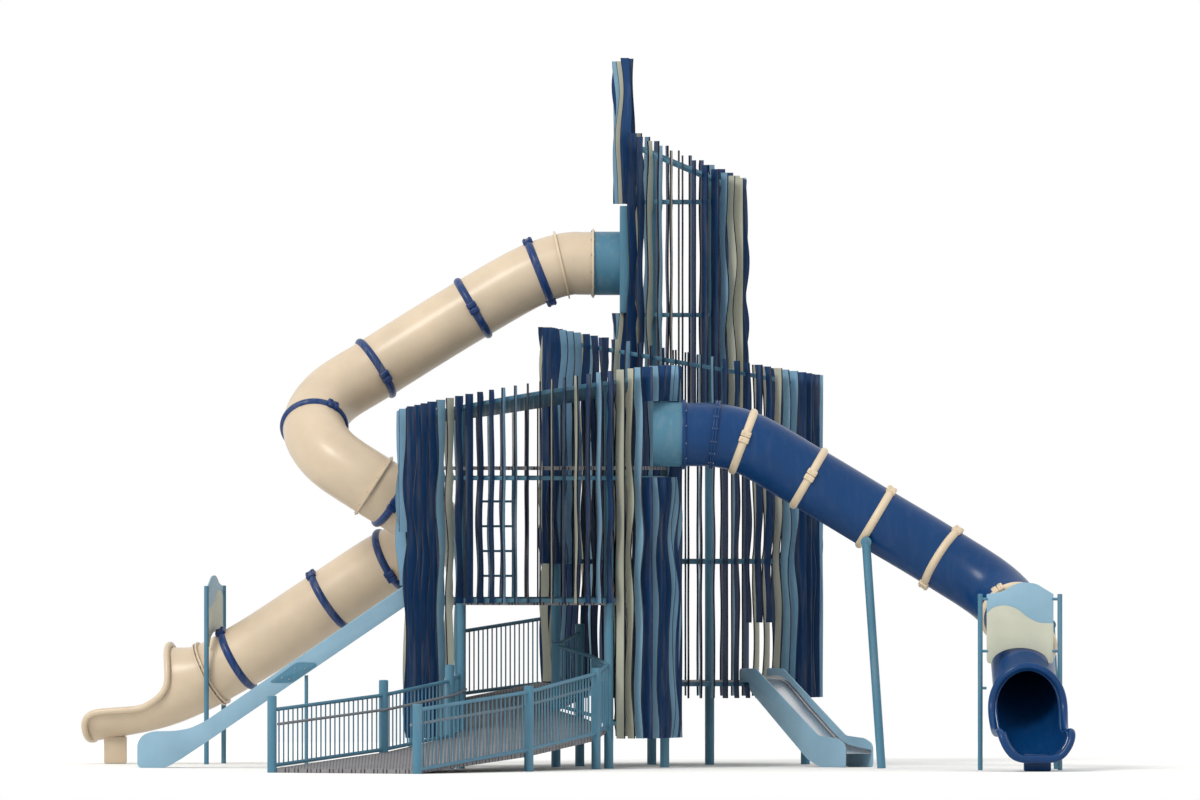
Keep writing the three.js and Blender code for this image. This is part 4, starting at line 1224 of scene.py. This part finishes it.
# %% The blue slide
BLUE_TOP = BLUE.near(2504, -700, 4000)
BLUE_BEND = BLUE.near(4938, -700, 2573)
BLUE_HOOD = BLUE.passes(1, -3000)
BLUE_MOUTH = (
    (-3250, 86, 50), (-3275, 60, 52), (-3310, 34, 50), (-3370, 13, 45), (-3460, 0, 35),
    (-3600, -9, 15), (-3760, -13, 0), (-4000, -10, 0), (-4220, -6, 0), (-4300, -9, 0),
    (-4345, -16, 0), (-4375, -27, 0), (-4388, -42, 0),
)
BLUE_JOINT = BLUE.near(2150, -700, 4084)
JOINT_HALF = 15 / BLUE.length
tube_lengths(BLUE, blue_plastic, (
    ("blue_slide_entry", 0.0, BLUE_TOP),
    ("blue_slide_straight_run", BLUE_TOP, BLUE_BEND),
    ("blue_slide_bend", BLUE_BEND, BLUE_HOOD),
))
run_out(
    BLUE, "blue_slide_run_out", blue_plastic, BLUE_HOOD, 1, BLUE_MOUTH,
    rim=92, rim_out=52, foot=((5895, 6226), (-4050, -3800), (0, 215)),
)
clamp_rings(BLUE, "blue_slide_clamp_rings", tan_ring_paint, (
    ((2504, -700, 4000), (8,)), ((3306, -700, 3550), (6,)), ((4118, -700, 3064), (72,)),
    ((4938, -700, 2573), (72, -76)), ((5820, -1300, 1900), (0,)), ((5890, -2000, 1510), (40,)),
))
blue_flanges = [flange(BLUE, BLUE_JOINT + way * JOINT_HALF) for way in (-1, 1)]
hand_over(joined(blue_flanges), "blue_slide_flange", blue_plastic)
blue_bolts = flange_bolts(BLUE, BLUE_JOINT, count=16, reach=66.0)
hand_over(blue_bolts, "blue_slide_bolts", bolt_steel)

# %% [markdown]
# ## Exit panels
# Over the end of each tube slide a sheet of two-coloured plastic stands between two posts: light
# blue above a wave, tan below, with an arch cut out of its foot. The wave is the same curve for
# both colours, so each half is an outline drawn once, filled, given its thickness with Solidify
# and eased with Bevel. The panel is drawn facing the camera and then turned into its place.

# %% Exit panels
PANEL = dict(
    spacing=970.0, post=60.0, sheet=18.0, ease=2.5, half=407.0, foot_inset=62.0, arch=190.0,
    arm=36.0, arm_sink=14.0, arm_low=150.0, arm_high=60.0, bracket=0.84, post_drop=4.0,
)
WAVE_LINE = (
    (-407, 610), (-320, 681), (-187, 707), (-40, 664), (92, 566), (223, 501), (407, 490),
)
CROWN_LINE = (
    (-407, 0.0), (-300, 0.1), (-200, 0.3), (-90, 0.75), (0, 0.97), (70, 1.0), (200, 0.86),
    (290, 0.5), (407, 0.0),
)
CORNER = ((0.0, 46.0), (6.0, 20.0), (20.0, 5.0), (40.0, 0.0))
ARCH_STEPS = 24


def smooth_line(points, per_span=8):
    """A smooth line through points in the plane of a panel."""
    track = Track([(u, v, 0.0) for u, v in points])
    shares = np.linspace(0, 1, per_span * (len(points) - 1) + 1)
    return [tuple(track.centre(s)[:2]) for s in shares]


def panel_outlines(rise, peak):
    """The upper and the lower sheet's outlines, from the posts' tops to the crown's peak."""
    half = PANEL["half"]
    crown = smooth_line([(u, rise + share * peak) for u, share in CROWN_LINE])
    wave = smooth_line(WAVE_LINE)
    arc = [math.pi * k / ARCH_STEPS for k in range(ARCH_STEPS + 1)]
    reach = half - PANEL["foot_inset"]
    arch = [(reach * math.cos(a), PANEL["arch"] * math.sin(a)) for a in arc]
    right = [(half - u, v) for u, v in CORNER]
    left = [(-u, v) for u, v in reversed(right)]
    return crown + wave[::-1], wave + right + arch + left


def exit_panel(name, place, turn, post_top, bottom, peak, bracket):
    """Two sheets between two posts, whose brackets reach the tube."""

    def point(along_panel, z):
        return at(*plan_point(place, turn, along_panel), z)

    sheets = []
    outlines = panel_outlines(post_top - bottom, peak - post_top)
    for outline, material in zip(outlines, (pale_blue_sheet, tan_sheet)):
        points = [point(u, bottom + v) for u, v in outline]
        sheets.append(cut_sheet(points, PANEL["sheet"], PANEL["ease"], material))
    bars = []
    for side in (-1, 1):
        post = side * PANEL["spacing"] / 2
        inner = side * (PANEL["half"] - PANEL["arm_sink"])
        x, y = plan_point(place, turn, post)
        bars.append(steel_post(x, y, post_top - PANEL["post_drop"], PANEL["post"]))
        arms = [
            [point(inner, z), point(post, z)]
            for z in (bottom + PANEL["arm_low"], post_top - PANEL["arm_high"])
        ]
        arms.append([point(post, bracket), point(post * PANEL["bracket"], bracket)])
        bars.append(round_bars(arms, PANEL["arm"]))
    hand_over(joined(bars), name + "_posts", teal_paint)
    hand_over(joined(sheets), name + "_sheet", None, [name + "_panel"])


exit_panel("blue_slide_exit", (5865, -2880), 0, 2144, 1300, 2286, 1000)
exit_panel("beige_slide_exit", (-4020, 3540), -102, 2205, 1450, 2335, 1160)

# %% [markdown]
# ## Leaning poles
# Two round poles lean under the blue slide. Each ends at the tube's underside in a thick round
# eye with a bolt through it.

# %% Leaning poles
POLES = (
    ("blue_slide_pole_upper", (4196, -1030, 0), (4006, -1030, 2770)),
    ("blue_slide_pole_lower", (6349, -1500, 0), (6258, -1500, 1760)),
)
POLE_DIAMETER = 106.0
EYE = ((66.0, 70.0, 36), (20.0, 110.0, 6))
EYE_EASE = 5.0
POLE_RESOLUTION = 6
FACING = (math.radians(90), 0, 0)

for name, foot, head in POLES:
    parts = [round_bars([[at(*foot), at(*head)]], POLE_DIAMETER, POLE_RESOLUTION)]
    for radius, depth, sides in EYE:
        parts.append(rounded(cylinder(radius, depth, at(*head), sides, FACING), EYE_EASE))
    hand_over(joined(parts), name + "_round", teal_paint, [name])

# %% [markdown]
# ## Open slides
# The straight slide on the left has two boards of light-blue plastic for sides and a steel bed
# between them, and the steel one off the mid tower is made the same way. A side board is an
# outline filled and thickened; the bed is a strip of steel carried down between the boards,
# folded up a little at its sides.

# %% Side boards and beds
CORNER_STEPS = 4
CORNER_REACH = 0.4
BOARD_EASE = 3.0
BED_STEEL = 3.0
BED_FOLD = 8.0
BED_LIP = 45.0


def eased_outline(points, radius):
    """Rounds an outline's corners: each corner becomes a few points."""
    count = len(points)
    eased = []
    for i, corner in enumerate(points):
        before = np.array(points[i - 1], float)
        after = np.array(points[(i + 1) % count], float)
        corner = np.array(corner, float)
        back, on = before - corner, after - corner
        sides = np.linalg.norm(back), np.linalg.norm(on)
        reach = min(radius, CORNER_REACH * sides[0], CORNER_REACH * sides[1])
        start = corner + back / sides[0] * reach
        end = corner + on / sides[1] * reach
        for k in range(CORNER_STEPS + 1):
            w = k / CORNER_STEPS
            eased.append(tuple((1 - w) ** 2 * start + 2 * w * (1 - w) * corner + w * w * end))
    return eased


def side_board(outline, across, thickness, turn, origin, material):
    """A board in an upright plane: outline in (along, height), across is its place sideways."""
    points = [at(*plan_point(origin, turn, r, across), z) for r, z in outline]
    return cut_sheet(points, thickness, BOARD_EASE, material)


def bed_strip(line, half, turn, origin):
    """A steel bed with its edges folded up, down a line of (along, height)."""
    line = smooth_line(line, per_span=6)
    section = (
        (-half, BED_LIP), (-half, BED_FOLD), (-half + BED_FOLD, 0), (half - BED_FOLD, 0),
        (half, BED_FOLD), (half, BED_LIP),
    )
    points = []
    for r, z in line:
        points.extend(at(*plan_point(origin, turn, r, across), z + up) for across, up in section)
    wide = len(section)
    faces = []
    for i in range(len(line) - 1):
        for a in range(i * wide, (i + 1) * wide - 1):
            faces.append((a, a + 1, a + wide + 1, a + wide))
    bed = thickened(mesh_object("bed", points, faces), BED_STEEL)
    bed.data.materials.append(slide_steel)
    return bed


def open_slide(name, outline, corner, bed, turn, origin, half, board):
    """Two side boards with a steel bed between them, from half the width and a board's thickness."""
    shape = eased_outline(outline, corner)
    parts = []
    for across in (-half + board / 2, half - board / 2):
        parts.append(side_board(shape, across, board, turn, origin, pale_blue_sheet))
    parts.append(bed_strip(bed, half - board, turn, origin))
    hand_over(joined(parts), name + "_boards_and_bed", None, [name])


# %% [markdown]
# ## The straight slide on the left
# A splice plate with four bolts joins the near side board halfway, and two thin posts carry
# the slide there.

# %% The straight slide on the left
FLAT_OUTLINE = (
    (-1500, 2338), (-4094, 568), (-4280, 480), (-4459, 448), (-4741, 442), (-4860, 400),
    (-4923, 301), (-4923, 0), (-4572, 0), (-4380, 110), (-4094, 301), (-1590, 2010),
    (-1590, 2040.4), (-1500, 2040.4),
)
FLAT_NEAR, FLAT_FAR, FLAT_BOARD = -468.0, -54.7, 24.0
FLAT_MIDDLE = (FLAT_NEAR + FLAT_FAR) / 2
FLAT_BED = (
    (-1500, 2076), (-1600, 2072), (-2800, 1250), (-4094, 361), (-4300, 260), (-4459, 200),
    (-4880, 180),
)
FLAT_CORNER = 60.0
SPLICE = (
    (-3293, 1058), (-2968, 1296), (-2744, 1287), (-2721, 1254), (-3024, 1043), (-3270, 1045),
)
SPLICE_BOLTS = ((-3150, 1100), (-2990, 1215), (-2870, 1215), (-3060, 1085))
SPLICE_PLATE = dict(out=5.0, thickness=9.0)
SPLICE_BOLT = dict(out=12.0, radius=11.0, length=12.0, sides=20, ease=3.0)
SUPPORT = dict(x=-2852.0, inset=60.0, head=1130.0, diameter=42.0)

open_slide(
    "flat_slide", FLAT_OUTLINE, FLAT_CORNER, FLAT_BED, 0, (0, FLAT_MIDDLE),
    (FLAT_FAR - FLAT_NEAR) / 2, FLAT_BOARD,
)
splice = side_board(
    eased_outline(SPLICE, FLAT_CORNER), FLAT_NEAR - SPLICE_PLATE["out"], SPLICE_PLATE["thickness"],
    0, (0, 0), teal_paint,
)
hand_over(splice, "flat_slide_splice_plate", None)
splice_bolts = []
for x, z in SPLICE_BOLTS:
    place = at(x, FLAT_NEAR - SPLICE_BOLT["out"], z)
    bolt = cylinder(SPLICE_BOLT["radius"], SPLICE_BOLT["length"], place, SPLICE_BOLT["sides"], FACING)
    splice_bolts.append(rounded(bolt, SPLICE_BOLT["ease"]))
hand_over(joined(splice_bolts), "flat_slide_splice_bolts", bolt_steel)
support = []
for y in (FLAT_NEAR + SUPPORT["inset"], FLAT_FAR - SUPPORT["inset"]):
    support.append([at(SUPPORT["x"], y, 0), at(SUPPORT["x"], y, SUPPORT["head"])])
support = round_bars(support, SUPPORT["diameter"])
hand_over(support, "flat_slide_support", teal_paint)

# %% [markdown]
# ## The steel slide on the right
# It leaves the mid tower's deck towards the viewer and to the right, and its outlines are
# measured out from that tower's axis.

# %% The steel slide on the right
METAL_ANGLE = 305.0
METAL_OUTLINE = (
    (1560, 1200), (1900, 1200), (3236, 384), (3635, 355), (3770, 300), (3806, 245), (3806, 0),
    (3270, 0), (3007, 93), (1778, 931), (1769, 1030.4), (1560, 1030.4),
)
METAL_BED = ((1560, 1056), (1900, 1052), (2560, 652), (3236, 250), (3500, 200), (3790, 170))
METAL_HALF, METAL_BOARD = 215.0, 20.0
METAL_CORNER = 50.0
open_slide(
    "metal_slide", METAL_OUTLINE, METAL_CORNER, METAL_BED, METAL_ANGLE, MID["axis"],
    METAL_HALF, METAL_BOARD,
)

# %% [markdown]
# ## Ramp railings
# Each railing has a top and a bottom rail, pickets about 100 mm apart and posts with caps. The
# rails follow the ramp, so each stretch is given by its ends: place, low height and high height.
# A smooth grey hand bar runs inside the railings of the lower ramp.

# %% Ramp railings
RAIL_DIAMETER = 46.0
PICKET_DIAMETER = 18.0
PICKET_PITCH = 100.0
RAILINGS = {
    "ramp_left_railing": (
        (-3219, -5251, 61, 735), (-1884, -3195, 233, 894), (-1088, -1563, 380, 1053),
        (-965, -1225, 416, 1127),
    ),
    "ramp_right_railing": (
        (-1455, -6468, 24, 747), (-114, -4145, 245, 943), (701, -1906, 416, 1144),
        (852, -1300, 514, 1250),
    ),
    "ramp_inner_left_railing": ((-959, -1190, 500, 1200), (-959, 1190, 850, 1590)),
    "ramp_inner_right_railing": (
        (850, -1260, 520, 1250), (640, -240, 620, 1341), (208, 262, 740, 1470),
        (500, 1186, 870, 1617), (535, 1760, 960, 1690),
    ),
    "ramp_back_railing": ((-942, 1238, 870, 1637), (2, 2770, 980, 1776)),
}
RAILING_POSTS = {
    "ramp_left_railing": ((-3219, -5251, 931), (-1884, -3195, 1102), (-1088, -1563, 1274)),
    "ramp_right_railing": ((-1455, -6468, 845), (-114, -4145, 1041), (701, -1906, 1237)),
    "ramp_inner_right_railing": ((208, 262, 1531), (500, 1186, 1752)),
}
RAIL_RESOLUTION = 4
PICKET_RESOLUTION = 1
HAND_BAR = dict(diameter=34.0, rise=0.78, inset=75.0)


def railing(stations, posts):
    """Two rails through the stations, pickets evenly along each stretch, and posts."""
    lift = RAIL_DIAMETER / 2
    rails = [[at(s[0], s[1], s[row] + lift) for s in stations] for row in (2, 3)]
    pickets = []
    for first, last in zip(stations, stations[1:]):
        a, b = np.array(first, float), np.array(last, float)
        count = max(1, int(np.linalg.norm((b - a)[:2]) // PICKET_PITCH))
        for k in range(count):
            x, y, low, high = a + (b - a) * (k + 0.5) / count
            pickets.append([at(x, y, low + lift), at(x, y, high + lift)])
    parts = [
        round_bars(rails, RAIL_DIAMETER, RAIL_RESOLUTION),
        round_bars(pickets, PICKET_DIAMETER, PICKET_RESOLUTION),
    ]
    parts.extend(steel_post(x, y, top - CAP_HEIGHT) for x, y, top in posts)
    return joined(parts)


for name, stations in RAILINGS.items():
    made = railing(stations, RAILING_POSTS.get(name, ()))
    hand_over(made, name + "_round", teal_paint, [name])

grips = []
for name, inward in (("ramp_left_railing", 1), ("ramp_right_railing", -1)):
    grips.append([
        at(x + inward * HAND_BAR["inset"], y, low + (high - low) * HAND_BAR["rise"])
        for x, y, low, high in RAILINGS[name]
    ])
grips = round_bars(grips, HAND_BAR["diameter"], RAIL_RESOLUTION)
hand_over(grips, "ramp_hand_bars", grey_grip)

# %% [markdown]
# ## Floor, light and camera
# The structure stands on a plain pale floor under soft studio light: one broad sun from the
# upper left and an even pale sky. The photograph looks straight at the entrance side from far
# away, so the camera has a very long lens and stands hundreds of metres back.

# %% Floor and light
FLOOR_RADIUS = 26.0
deselect()
bpy.ops.mesh.primitive_circle_add(
    vertices=96, radius=FLOOR_RADIUS, fill_type="NGON", location=(1.5, 2.5, -0.001)
)
floor = settle(bpy.context.object)
floor.name = "floor"
floor_finish = finish("floor_finish", (238, 238, 236), 0.85, dust=0.0, fading=0.02, bump=0.02)
floor.data.materials.append(floor_finish)

world = bpy.data.worlds.new("soft_sky")
world.use_nodes = True
sky = world.node_tree.nodes["Background"].inputs
sky["Color"].default_value = (1.0, 1.0, 1.0, 1.0)
sky["Strength"].default_value = 1.0
bpy.context.scene.world = world
deselect()
bpy.ops.object.light_add(type="SUN", location=(-8, -10, 14))
sun = bpy.context.object
sun.data.energy = 1.5
sun.data.angle = math.radians(18)
sun.data.color = (1.0, 0.97, 0.92)
sun.rotation_euler = (math.radians(48), math.radians(-14), math.radians(-24))

# %% Camera
LENS = 900.0
CAMERA_BACK = 367.0
AIM = Vector((1.7085, 0.0, 4.508))
camera_data = bpy.data.cameras.new("camera")
camera_data.lens = LENS
camera_data.sensor_width = 36.0
camera_data.clip_end = 1000.0
camera = bpy.data.objects.new("camera", camera_data)
camera.location = AIM + Vector((0, -CAMERA_BACK, 0))
camera.rotation_euler = (math.radians(90), 0, 0)
bpy.context.scene.collection.objects.link(camera)
bpy.context.scene.camera = camera
bpy.context.scene.view_settings.view_transform = "Standard"
